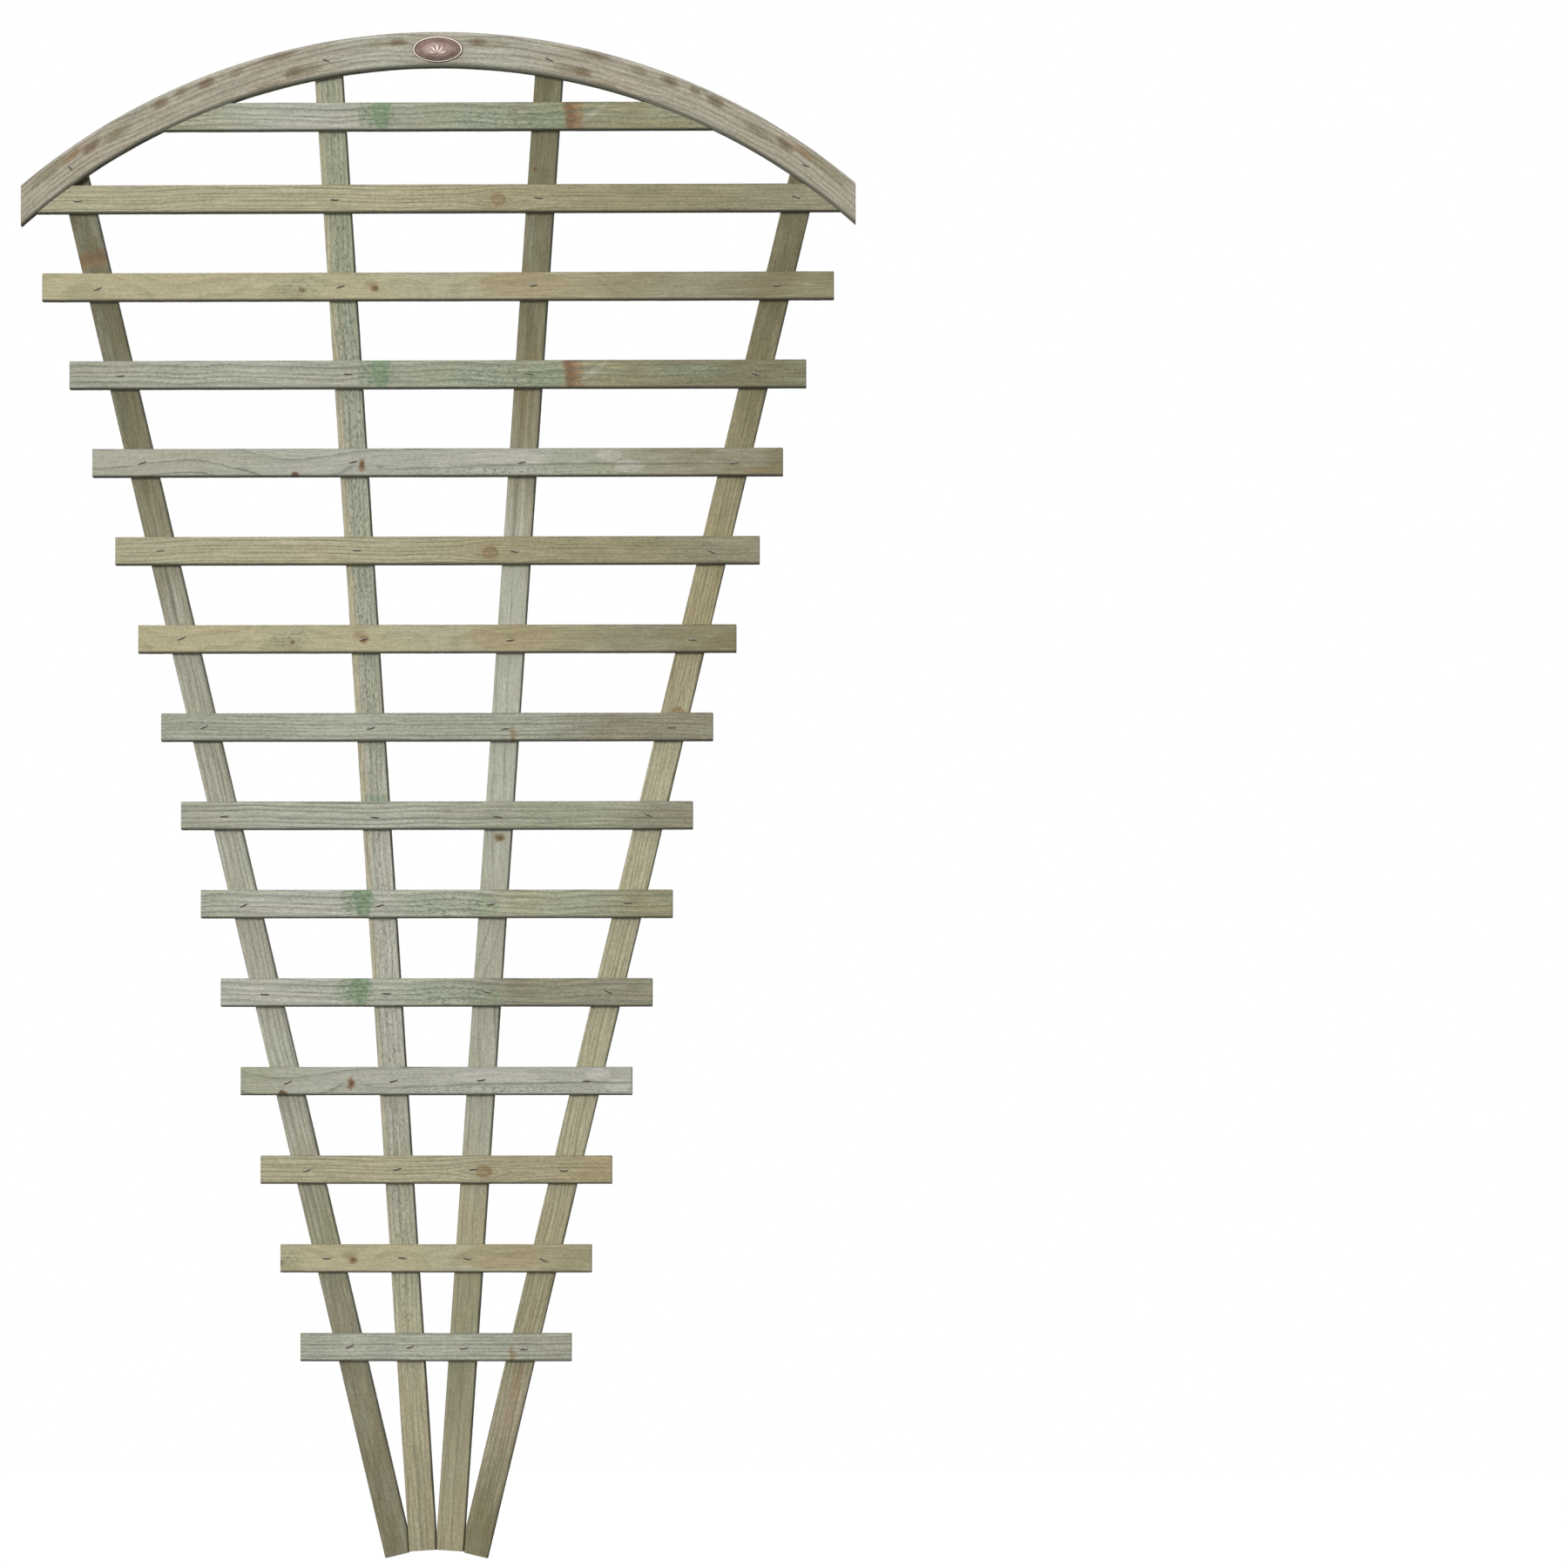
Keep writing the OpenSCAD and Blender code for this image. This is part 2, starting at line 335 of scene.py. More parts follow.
def ring_number(points, grain, knots, seed):
    """How many rings lie between the pith and each point."""
    along, through, across = points.T
    off_across, off_through = grain["pith"]
    shift = wander(seed, along, grain["wander"], grain["span"])
    if "sweep" in grain:
        # the sweep is measured from the board's first knot, which bends the grain
        shift = shift + follow(along - knots[0][0], grain["sweep"])
    bend = wander(seed + 50, along, grain["wander"] * 0.6, grain["span"] * 0.7)
    lean = grain.get("lean", 0.0) * along / 1000
    away = np.hypot(across - off_across - shift - lean, through - off_through - bend)
    # old rings are closer together than young ones, by turns
    ring = away / grain["ring"]
    ring = ring + SQUEEZE * np.sin(ring * 2.1 + seed)
    for x, z, size in knots:
        swell = ((along - x) / (KNOT_LONG * size)) ** 2 + ((across - z) / (KNOT_HIGH * size)) ** 2
        ring = ring + KNOT_SWELL / grain["ring"] * np.exp(-swell) * np.sign(across - z + 0.01)
    return ring + seed % 7


def late_wood(ring):
    """0 in the soft spring wood of a ring, rising to 1 in its hard autumn wood."""
    part = ring % 1.0
    rise = np.clip((part - LATE_FROM) / LATE_RISE, 0, 1)
    fall = np.clip((1.0 - part) / LATE_FALL, 0, 1)
    return rise * rise * (3 - 2 * rise) * fall


# %% [markdown]
# ## Ridges and hollows
#
# A planed face isn't flat. Hard autumn wood stands a little proud of the soft
# spring wood, the planer leaves a fine ripple, arrises get nicked, and a
# knot's rim, a staple's crown and a torn fibre each leave a hollow. All of
# them are depths below the planed face, so the board never outgrows its size.

# %% Ridges and hollows
RIDGE = 0.14
RIPPLE = 0.05
RIPPLE_EVERY = 1.9
NICK, NICK_EVERY, NICK_DEEPEST = 0.35, 71, 0.9
KNOT_RIM = 0.35
CROWN_LONG, CROWN_HIGH = 6.2, 1.9
FRONT_DENT, BACK_GROOVE = 0.55, 1.3
TEAR_HIGH, TEAR_SLANT = 1.6, 0.06
# a point counts as front or back once it faces that way by this share
FACING = 0.2


def hollow(points, outward, ring, knots, dents, tears, seed):
    """How far each point sinks below the planed face, in mm. It is never negative."""
    along, through, across = points.T
    rng = np.random.default_rng(seed + 900)
    ridge = RIDGE * (1 - late_wood(ring))
    ripple = RIPPLE * (1 + np.sin(along / RIPPLE_EVERY + across / 5 + seed))
    arris = np.abs(outward[:, 0] * outward[:, 1]) * 2
    nick = arris * np.clip(wander(seed + 7, along, NICK, NICK_EVERY) +
                           0.25 * rng.standard_normal(len(along)) - 0.15, 0, NICK_DEEPEST)
    sunk = ridge + ripple + nick
    front = outward[:, 0] < -FACING
    back = outward[:, 0] > FACING
    for x, z, size in knots:
        spot = np.hypot((along - x) / size, (across - z) / size)
        sunk = sunk + KNOT_RIM * np.exp(-((spot - 1.0) / 0.35) ** 2) * (front | back)
    for x, z, turn, faces_back in dents:
        dx, dz = along - x, across - z
        run = dx * math.cos(turn) + dz * math.sin(turn)
        off = dz * math.cos(turn) - dx * math.sin(turn)
        groove = np.exp(-(run / CROWN_LONG) ** 6 - (off / CROWN_HIGH) ** 2)
        deep, face = (BACK_GROOVE, back) if faces_back else (FRONT_DENT, front)
        sunk = sunk + deep * groove * face
    for x, z, long, deep in tears:
        dx, dz = (along - x) / long, (across - z + TEAR_SLANT * (along - x)) / TEAR_HIGH
        sunk = sunk + deep * np.exp(-dx ** 2 - dz ** 2) * (1 + dx) * front * (dx > -1)
    return sunk * (np.hypot(*outward.T) > 0)


# %% [markdown]
# ## From net to timber
#
# One function makes a finished board: net, rounding, rings, hollows, and last
# the move from the board's own millimetres to its place in the frame. The
# mesh ends up in the frame with its object at the origin, as a CAD node has.
#
# Each board gets painted shade along one long edge: the lower one on the slats
# and the rail, the right-hand one on the uprights. How much each point gets goes
# into an attribute as well.

# %% Make one board
CREASE = math.radians(40)
# painted shade: how soft its border is, and how far in from the front face it reaches, in mm
SHADE_FADE = 1.25
SHADE_DEPTH = 8
board_triangles = {}


def note(mesh, name, kind, field, values):
    """Keep a number or a vector on every point of a mesh."""
    mesh.attributes.new(name, kind, "POINT").data.foreach_set(
        field, values.astype(np.float32).ravel())


def make_board(name, node, size, grain, place, *, seed, ease=ARRIS,
               knots=(), dents=(), tears=(), soaked=2.8):
    """A board of that size in mm, put in the frame by place(points), for a CAD node."""
    length, width, thick = size
    bm, points = board_net(length, width, thick, ease)
    points, outward = round_arrises(points, width, thick, ease)
    # painted shade on the strip along the board's low side, near its front face
    wet = np.clip((soaked - points[:, 2] - width / 2) / SHADE_FADE, 0, 1)
    wet *= np.clip((SHADE_DEPTH - points[:, 1] - thick / 2) / SHADE_FADE, 0, 1)
    points, moved = place(points, None)
    ring = ring_number(points, grain, knots, seed)
    sunk = hollow(points, outward, ring, knots, dents, tears, seed)
    carved = moved.copy()
    carved[:, 1:] -= outward * sunk[:, None]
    _, world_points = place(carved, True)
    for vert, spot in zip(bm.verts, world_points):
        vert.co = spot
    mesh = bpy.data.meshes.new(name)
    bm.to_mesh(mesh)
    bm.free()
    note(mesh, "board_mm", "FLOAT_VECTOR", "vector", points[:, [0, 2, 1]])
    note(mesh, "ring", "FLOAT", "value", ring)
    note(mesh, "wet", "FLOAT", "value", wet)
    mesh.shade_smooth()
    mesh.set_sharp_from_angle(angle=CREASE)
    board = show(bpy.data.objects.new(name, mesh))
    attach(board, "root")
    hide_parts(node)
    board_triangles[name] = 2 * len(mesh.polygons)
    return board


# %% [markdown]
# ## Where the staples are
#
# Each staple leaves a small dent where its crown was driven home. The staples
# themselves are CAD nodes and stay as they are. A merged copy of each node
# falls apart into loose shapes, and each shape's two farthest points in the
# face give the staple's middle and how it is turned.

# %% Read the staples from the CAD nodes
def staple_places(node):
    """(x, z, turn) of every staple in a CAD node, in mm and radians."""
    bm = bmesh.new()
    bm.from_mesh(nodes[node].data)
    bmesh.ops.remove_doubles(bm, verts=bm.verts, dist=1e-6)
    left = set(bm.verts)
    places = []
    while left:
        grown, edge = set(), [left.pop()]
        while edge:
            v = edge.pop()
            grown.add(v)
            for e in v.link_edges:
                other = e.other_vert(v)
                if other in left:
                    left.discard(other)
                    edge.append(other)
        flat = np.array([(v.co.x, v.co.z) for v in grown]) / MM
        middle = (flat.max(0) + flat.min(0)) / 2
        spread = np.cov((flat - middle).T)
        turn = 0.5 * math.atan2(2 * spread[0, 1], spread[0, 0] - spread[1, 1])
        places.append((middle[0], middle[1], turn))
    bm.free()
    return places


slat_crowns = staple_places("slat_staples")
rail_crowns = staple_places("arch_staples")
back_crowns = staple_places("back_staples")
print("staples:", len(slat_crowns), "in slats,", len(rail_crowns), "in the rail,",
      len(back_crowns), "from behind")

# %% [markdown]
# ## The rail's two curves
#
# The rail is cut from a wide board along two arcs. Its CAD node gives the
# height of each arc at the crown and at the cut ends, and an arc through a
# crown and two equal ends has only one radius.

# %% Measure the rail
rail_low, rail_high = (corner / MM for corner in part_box("arch_rail"))
rail_points = np.array([v.co[:] for v in nodes["arch_rail"].data.vertices]) / MM
half_span = rail_high.x
END_BAND = 0.01
at_end = rail_points[rail_points[:, 0] > half_span - END_BAND]
end_top, end_bottom = at_end[:, 2].max(), at_end[:, 2].min()
NEAR_CROWN = 25
near = rail_points[np.abs(rail_points[:, 0]) < NEAR_CROWN]
crown_top = rail_high.z
crown_bottom = near[:, 2].min()


def arc(crown, end):
    """Centre height and radius of the arc through the crown and both ends."""
    rise = crown - end
    radius = (half_span ** 2 + rise ** 2) / (2 * rise)
    return crown - radius, radius


def height_on(centre, radius, x):
    """How high an arc stands at a distance from the middle of the rail."""
    return centre + np.sqrt(radius ** 2 - x ** 2)


outer_centre, outer_radius = arc(crown_top, end_top)
# the lowest point near the crown is a little below the crown of the lower arc
lower_centre, lower_radius = arc(crown_bottom, end_bottom)
for _ in range(3):
    over = near[:, 2] - height_on(lower_centre, lower_radius, near[:, 0])
    crown_bottom += float(np.min(over))
    lower_centre, lower_radius = arc(crown_bottom, end_bottom)
print("rail arcs in mm: outer", round(outer_radius, 1), "lower", round(lower_radius, 1),
      "crown", round(crown_bottom, 1), "to", round(crown_top, 1))

# %% [markdown]
# ## Tones of treated softwood
#
# Preservative turns pine from straw to grey-green, but never evenly: sapwood
# drinks more than heartwood. So no board has one colour. Each has a run of
# named tones from its left end, or its foot, to its right end, or its top, and
# the marks that a joiner would point at. The runs carry painted shade too: the
# slats darken to their right ends, and most uprights at the foot and the top.

# %% The tones
TONE = {
    "chalk": "#b3b1a5", "silver": "#abab9b", "ash": "#a2a190", "sage": "#9b9c86",
    "moss": "#8e8b70", "straw": "#aea68a", "hay": "#a8a489", "tan": "#a1987b",
    "ochre": "#9c906f", "olive": "#918a6d", "umber": "#7d765b", "bark": "#6e684f",
    "rose": "#a69d8c", "fawn": "#9b927e", "drab": "#8b8570",
    "lichen": "#93a189", "verdigris": "#7b9272", "resin": "#74533a", "knot": "#80663f",
    "heart": "#5e4426", "char": "#4a3a26", "bleach": "#c0bdb2",
    "rust": "#8d6c49", "cocoa": "#6e5c46", "pearl": "#a4a398", "mist": "#a0a191",
    # the dark olive in this row is a painted shade colour for the boards' lower edges
    "stone": "#a39d8b", "wheat": "#aba383", "soaked": "#4c4d40", "fleck": "#58634f",
    "ring_grey": "#646c5e", "ring_olive": "#6d6c4e", "ring_pink": "#6b6151",
}


# %% [markdown]
# ## The patterns in the timber
#
# Treated softwood is dull: the preservative is water-based and dries into the
# wood, so there is no gloss, and a roughness of about 0.8 fits. What the eye
# reads is scale: rings 3 to 6 mm apart, fibres far finer than a millimetre,
# here drawn about 2 mm wide so that they show, and blotches a hand wide.
#
# Five noises, each stretched along the grain to its own size, carry all of
# it. The first step lays the board's run of tones, with ragged borders.

# %% Noises and tones
UNEVEN = 0.16
# each noise: its size in mm along, across and through, its detail and its shift
NOISES = {
    "fibre": ((40, 2.0, 2.0), 3.0, 0),
    "grit": ((4.0, 2.0, 2.0), 1.0, 11),
    "streak": ((260, 6, 6), 2.0, 31),
    "blotch": ((80, 22, 22), 3.0, 57),
    "torn": ((6.0, 2.3, 2.3), 2.0, 83),
}


def wood_noises(tree, place, seed):
    """The wood's noises, shifted by the seed so that no two boards are alike."""
    noises = {}
    for label, (size, detail, shift) in NOISES.items():
        spot = add(tree, "Mapping", {"Vector": place, "Scale": tuple(1 / s for s in size),
                   "Location": (seed + shift, seed * 3.7, shift)}).outputs[0]
        noises[label] = add(tree, "TexNoise", {"Vector": spot, "Scale": 1.0,
                            "Detail": detail, "Roughness": 0.6}).outputs[0]
    return noises


def board_tones(tree, place, noises, length, tones, look):
    """The run of tones along the board, and blotches of the tone it drifts to."""
    along = add(tree, "SeparateXYZ", {0: place}).outputs[0]
    part = add(tree, "MapRange", {"Value": along, "From Min": -length / 2,
               "From Max": length / 2}).outputs[0]
    uneven = add(tree, "Math", {0: noises["streak"], 1: UNEVEN, 2: part},
                 operation="MULTIPLY_ADD").outputs[0]
    run = [((n + 0.5) / len(tones) + UNEVEN / 2, linear(TONE[t])) for n, t in enumerate(tones)]
    colour = add(tree, "ValToRGB", {0: uneven}, stops=run).outputs[0]
    drift = add(tree, "MapRange", {"Value": noises["blotch"], "From Min": 0.45,
                "From Max": 0.72, "To Max": look["blotch"]}).outputs[0]
    return add(tree, "Mix", {0: drift, 6: colour, 7: linear(TONE[look["drift"]])},
               data_type="RGBA").outputs[2]


# %% [markdown]
# ## Marks
#
# A mark is an ellipse on the board. A ramp over the distance from its middle
# gives it its colours, so a knot with a dark bark ring and a soft stain differ
# only in their ramp.

# %% The marks' ramps
def soft(tone, middle, at, share):
    """A ramp that fades from the mark's middle to its edge."""
    return [(0.0, tone, middle), (at, tone, share), (1.0, tone, 0.0)]


# each ramp: (distance from the middle, tone, how much of it)
MARK_RAMPS = {
    "pale_knot": [(0.0, "knot", 0.30), (0.40, "knot", 0.45), (0.62, "knot", 0.85),
                  (0.82, "knot", 0.70), (1.0, "knot", 0.0)],
    "dark_knot": [(0.0, "char", 0.9), (0.30, "heart", 0.9), (0.58, "knot", 0.80),
                  (0.80, "knot", 0.55), (1.0, "knot", 0.0)],
    "black_knot": [(0.0, "char", 1.0), (0.60, "heart", 0.95), (0.85, "heart", 0.7),
                   (1.0, "heart", 0.0)],
    "resin": soft("resin", 0.9, 0.6, 0.6),
    "rust": soft("rust", 0.9, 0.5, 0.6),
    "brown": soft("knot", 0.9, 0.5, 0.6),
    "tan": soft("ochre", 0.9, 0.85, 0.9),
    "umber": soft("umber", 0.9, 0.6, 0.6),
    "straw": soft("straw", 0.9, 0.6, 0.7),
    "green": soft("verdigris", 1.0, 0.85, 0.9),
    "lichen": soft("lichen", 0.8, 0.6, 0.5),
    "bleach": soft("bleach", 0.8, 0.8, 0.7),
    "torn": soft("fleck", 1.0, 0.7, 0.8),
    "cocoa": soft("cocoa", 0.95, 0.55, 0.7),
    # the last ramp is painted shadow under a staple crown
    "slit": soft("char", 1.0, 0.75, 0.9),
}


# %% [markdown]
# ## Laying a mark
#
# A noise makes a mark's edge uneven, unless the mark is a clean one. A knot
# goes right through the board, and every other mark stays near the front
# face. Torn grain and mottled paint are broken up by the wood's own noise.

# %% How a mark is laid
WARP_MM = 9
WARP_REACH = 5.0
DEPTH_OF_STAIN = 7
THROUGH = 1000
FRONT_MM = -9.5
CLEAN_MARKS = ("tag", "slit")
TOP_MARKS = ("knot", "torn", "slit")
BATTEN_SLANT = 0.12
BATTEN_SIDE = 0.45


def mark_painter(tree, place, noises):
    """A function that lays one mark over a colour, on one board."""
    nudge = add(tree, "TexNoise", {"Vector": place, "Scale": 1 / WARP_MM, "Detail": 3.0,
                "Roughness": 0.65}).outputs["Color"]
    nudge = add(tree, "VectorMath", {0: nudge, 1: (0.5, 0.5, 0.5)},
                operation="SUBTRACT").outputs[0]
    nudge = add(tree, "VectorMath", {0: nudge, 1: (WARP_REACH * 2, WARP_REACH, 0)},
                operation="MULTIPLY").outputs[0]
    rough_place = add(tree, "VectorMath", {0: place, 1: nudge}, operation="ADD").outputs[0]
    torn = add(tree, "MapRange", {"Value": noises["torn"], "From Min": 0.55,
               "From Max": 0.60}).outputs[0]
    mottle = add(tree, "MapRange", {"Value": noises["torn"], "From Min": 0.36,
                 "From Max": 0.60, "To Min": 0.15}).outputs[0]
    sides = add(tree, "SeparateXYZ", {0: place})
    batten = add(tree, "Math", {0: sides.outputs[1], 1: -BATTEN_SLANT, 2: sides.outputs[0]},
                 operation="MULTIPLY_ADD").outputs[0]

    def paint_mark(under, kind, at, reach, ramp, strength, turn=0.0):
        """One mark laid over the colour so far: an ellipse, a ramp and a breakup."""
        through = THROUGH if kind == "knot" else DEPTH_OF_STAIN
        near = add(tree, "Mapping", {
            "Vector": place if kind in CLEAN_MARKS else rough_place,
            "Location": (*at, FRONT_MM), "Scale": (*reach, through),
            "Rotation": (0, 0, turn)}, vector_type="TEXTURE").outputs[0]
        away = add(tree, "VectorMath", {0: near}, operation="LENGTH").outputs["Value"]
        paint = add(tree, "ValToRGB", {0: away}, stops=[
            (p, linear(TONE[t], a)) for p, t, a in MARK_RAMPS[ramp]])
        amount = add(tree, "Math", {0: paint.outputs["Alpha"], 1: strength},
                     operation="MULTIPLY").outputs[0]
        broken = {"torn": torn, "mottle": mottle}.get(kind)
        if kind == "cut":
            # a clean edge on the right, where a batten lay during spraying
            broken = add(tree, "Math", {0: batten, 1: at[0] + reach[0] * BATTEN_SIDE},
                         operation="LESS_THAN").outputs[0]
        if broken:
            amount = add(tree, "Math", {0: amount, 1: broken}, operation="MULTIPLY").outputs[0]
        return add(tree, "Mix", {0: amount, 6: under, 7: paint.outputs["Color"]},
                   data_type="RGBA").outputs[2]

    return paint_mark


# %% [markdown]
# ## Autumn wood
#
# The dark line at the end of each year's growth comes from the ring number:
# its fraction runs from 0 to 1 over one ring, and a ramp over that fraction
# is pale for most of the year and dark at its end. The fibre noise makes the
# line ragged, and the streak noise makes it stronger here and weaker there.

# %% The rings' dark lines
RAGGED = 0.34
FAINTEST = 0.35


def autumn_lines(tree, ring, noises, look):
    """How dark the autumn wood is at each spot, from 0 to the look's line."""
    ragged = add(tree, "Math", {0: noises["fibre"], 1: RAGGED, 2: ring},
                 operation="MULTIPLY_ADD").outputs[0]
    fraction = add(tree, "Math", {0: ragged}, operation="FRACT").outputs[0]
    start, end = look["start"], 0.97
    line = add(tree, "ValToRGB", {0: fraction}, stops=[
        (0.0, grey(0.15)), (0.05, grey(0.0)), (start, grey(0.08)),
        (start + 0.7 * (end - start), grey(0.9)), (end, grey(1.0)), (1.0, grey(0.15))]).outputs[0]
    strength = add(tree, "MapRange", {"Value": noises["streak"], "From Min": 0.30,
                   "From Max": 0.68, "To Min": look["line"] * FAINTEST,
                   "To Max": look["line"]}).outputs[0]
    return add(tree, "Math", {0: line, 1: strength}, operation="MULTIPLY").outputs[0]


# %% [markdown]
# ## The whole material
#
# The layers go on in the order in which they come about in the wood. The tones
# are the wood itself, with painted shade in their runs. Stains sink in, so the
# grain shows through them. Knots, torn fibres and the staples' painted shadows
# lie over everything, and last painted shade darkens the board's lower edge.

# %% Treated softwood
GRIT_SHARE = 0.8
LIGHTER_SHARE = 0.8
BUMP_MM = 0.3


def treated_softwood(name, length, tones, look, marks, seed, soak=0.85):
    """Water-based preservative on planed softwood, for a board of that length in mm."""
    material, tree = new_material(name)
    place = add(tree, "Attribute", attribute_name="board_mm").outputs["Vector"]
    ring = add(tree, "Attribute", attribute_name="ring").outputs["Fac"]
    wet = add(tree, "Attribute", attribute_name="wet").outputs["Fac"]
    noises = wood_noises(tree, place, seed)
    paint_mark = mark_painter(tree, place, noises)

    colour = board_tones(tree, place, noises, length, tones, look)
    for mark in marks:
        if mark[0] not in TOP_MARKS:
            colour = paint_mark(colour, *mark)
    lined = autumn_lines(tree, ring, noises, look)
    colour = add(tree, "Mix", {0: lined, 6: colour, 7: linear(TONE[look["late"]])},
                 data_type="RGBA").outputs[2]
    # fibres and grit, a little lighter and darker by turns
    for label, share in (("fibre", look["fibre"]), ("grit", look["fibre"] * GRIT_SHARE)):
        fine = add(tree, "MapRange", {"Value": noises[label], "From Min": 0.3,
                   "From Max": 0.7, "To Min": 1 - share,
                   "To Max": 1 + share * LIGHTER_SHARE}).outputs[0]
        colour = add(tree, "VectorMath", {0: colour, 1: fine}, operation="MULTIPLY").outputs[0]
    for mark in marks:
        if mark[0] in TOP_MARKS:
            colour = paint_mark(colour, *mark)
    # painted shade: a slat's or the rail's lower edge, or an upright's right-hand side, is darkened
    edge_shaded = add(tree, "Math", {0: wet, 1: soak}, operation="MULTIPLY").outputs[0]
    colour = add(tree, "Mix", {0: edge_shaded, 6: colour, 7: linear(TONE["soaked"])},
                 data_type="RGBA").outputs[2]

    dull = add(tree, "MapRange", {"Value": noises["fibre"], "To Min": 0.92,
               "To Max": 0.70}).outputs[0]
    height = add(tree, "Math", {0: noises["fibre"], 1: 0.7, 2: lined},
                 operation="MULTIPLY_ADD").outputs[0]
    bump = add(tree, "Bump", {"Strength": 0.55, "Distance": BUMP_MM * MM,
               "Height": height}).outputs[0]
    shader = add(tree, "BsdfPrincipled", {"Base Color": colour, "Roughness": dull,
                 "Normal": bump, "IOR": 1.5, "Specular IOR Level": 0.25})
    add(tree, "OutputMaterial", {"Surface": shader.outputs[0]})
    return material


# %% [markdown]
# ## The kinds of lath
#
# A batch of lath is cut from a few planks, so the same figures come back from
# slat to slat. Six kinds are enough here. Each has its rings (where the pith
# lay, how wide a ring is, how far it wanders) and how strongly they show.

# %% Six kinds of lath
GRAIN = {
    "furry": {"pith": (-52, 26), "ring": 5.6, "wander": 1.7, "span": 330},
    "even": {"pith": (70, 30), "ring": 4.2, "wander": 1.6, "span": 520, "lean": 9.0},
    "smooth": {"pith": (-14, 46), "ring": 7.5, "wander": 6.0, "span": 420},
    "bold": {"pith": (-129, 20), "ring": 17.0, "wander": 0.8, "span": 610,
             "sweep": [(-330, -4), (-205, 7), (-81, -16), (20, -6), (200, 0), (500, 3)]},
    "fine": {"pith": (-80, 20), "ring": 4.1, "wander": 1.2, "span": 430},
    "waved": {"pith": (60, 34), "ring": 5.2, "wander": 1.4, "span": 380},
}
LOOK = {
    "furry": {"drift": "lichen", "blotch": 0.35, "line": 0.68, "late": "ring_grey",
              "start": 0.50, "fibre": 0.22},
    "even": {"drift": "straw", "blotch": 0.35, "line": 0.75, "late": "ring_olive",
             "start": 0.50, "fibre": 0.20},
    "smooth": {"drift": "hay", "blotch": 0.40, "line": 0.28, "late": "ring_olive",
               "start": 0.60, "fibre": 0.16},
    "bold": {"drift": "chalk", "blotch": 0.45, "line": 0.90, "late": "ring_grey",
             "start": 0.84, "fibre": 0.17},
    "fine": {"drift": "sage", "blotch": 0.35, "line": 0.64, "late": "ring_grey",
             "start": 0.45, "fibre": 0.22},
    "waved": {"drift": "silver", "blotch": 0.35, "line": 0.78, "late": "ring_grey",
              "start": 0.48, "fibre": 0.20},
}


# %% [markdown]
# ## The furry kind's marks
#
# Torn grain holds more preservative and turns green, and a chalk tag was
# sprayed on against a batten. Marks are given in mm from the board's middle:
# kind, place, half its size each way, ramp, strength and, if any, its turn.

# %% Marks that repeat
def furry_marks(tag_at, swirl_at, swirl_half):
    """A green chalk tag with one clean edge, and torn grain with green in it."""
    return [
        ("cut", (tag_at + 3, 6), (15, 26), "green", 0.85),
        ("mottle", (tag_at - 6, 4), (24, 18), "green", 0.80),
        ("torn", (tag_at - 6, 0), (28, 20), "torn", 0.70),
        ("stain", (swirl_at - 0.4 * swirl_half, -3), (0.7 * swirl_half, 20), "lichen", 0.65),
        ("mottle", (swirl_at + 0.7 * swirl_half, -3), (0.35 * swirl_half, 17), "green", 0.60),
        ("torn", (swirl_at, -3), (swirl_half, 18), "torn", 0.65),
        ("torn", (-310, 0), (60, 16), "torn", 0.35),
    ]


# %% [markdown]
# ## Which slat is which
#
# The rows are counted from the top. Beside its kind, each slat has its own run
# of tones, and its knots, torn patches and tag lie where its piece of the
# plank was cut.

# %% The fifteen slats
SLAT_KINDS = {
    "furry": (1, 4, 10, 11), "even": (2, 6, 13), "smooth": (3, 7, 14),
    "bold": (5, 12), "fine": (8, 15), "waved": (9,),
}
kind_of = {row: kind for kind, rows in SLAT_KINDS.items() for row in rows}

# each slat's tones from its left end to its right; the darker, browner tones at the right ends are
# partly painted shade
SLAT_TONES = {
    1: "hay silver chalk ash sage sage moss olive olive",
    2: "hay hay hay straw tan olive olive drab",
    3: "wheat wheat wheat wheat hay tan olive drab umber",
    4: "ash silver silver ash sage sage olive umber umber",
    5: "ash ash mist pearl pearl pearl mist sage drab umber",
    6: "hay hay straw hay tan olive olive drab",
    7: "wheat wheat wheat wheat hay tan olive drab umber",
    8: "mist mist silver mist mist mist drab drab",
    9: "ash silver silver silver ash sage sage drab",
    10: "silver chalk chalk silver silver hay sage olive",
    11: "chalk chalk silver silver ash drab drab drab",
    12: "sage mist pearl pearl pearl pearl pearl pearl",
    13: "hay hay straw hay hay tan tan ochre",
    14: "wheat wheat wheat wheat hay hay tan olive",
    15: "mist silver mist silver silver mist ash ash",
}

KNOTS = {
    2: [(73, -2, 9)], 6: [(64, -2, 9)], 13: [(57, -2, 9)],
    3: [(-75, -2, 6)], 7: [(-87, -1, 6)], 14: [(-99, -2, 6)],
    5: [(-90, -3, 7), (-171, -16, 7)], 12: [(-102, -3, 7), (-184, -16, 7)],
    1: [(163, 30, 22)], 4: [(163, 30, 22)],
}
TEARS = {1: [(63, 3, 10, 0.9)], 4: [(63, 3, 10, 0.9)], 10: [(46, 2, 11, 0.9)],
         11: [(46, 2, 11, 0.9)]}
TAG_AT = {1: -68, 4: -68, 10: -89, 11: -92}
# the furry slats down to this row also show the plank's orange resin band
LAST_WITH_BAND = 4

# %% [markdown]
# ## The marks of one slat
#
# Most marks keep their distance from the knot, because they grew with it, so
# they are given from there. Each staple adds painted shadow, a dark line along
# the lower side of its crown.

# %% A slat's marks
# painted shadow under each staple crown: how far below the crown it lies, and its half size, in mm
SHADOW_BELOW = 1.2
SHADOW_REACH = (6.0, 1.35)


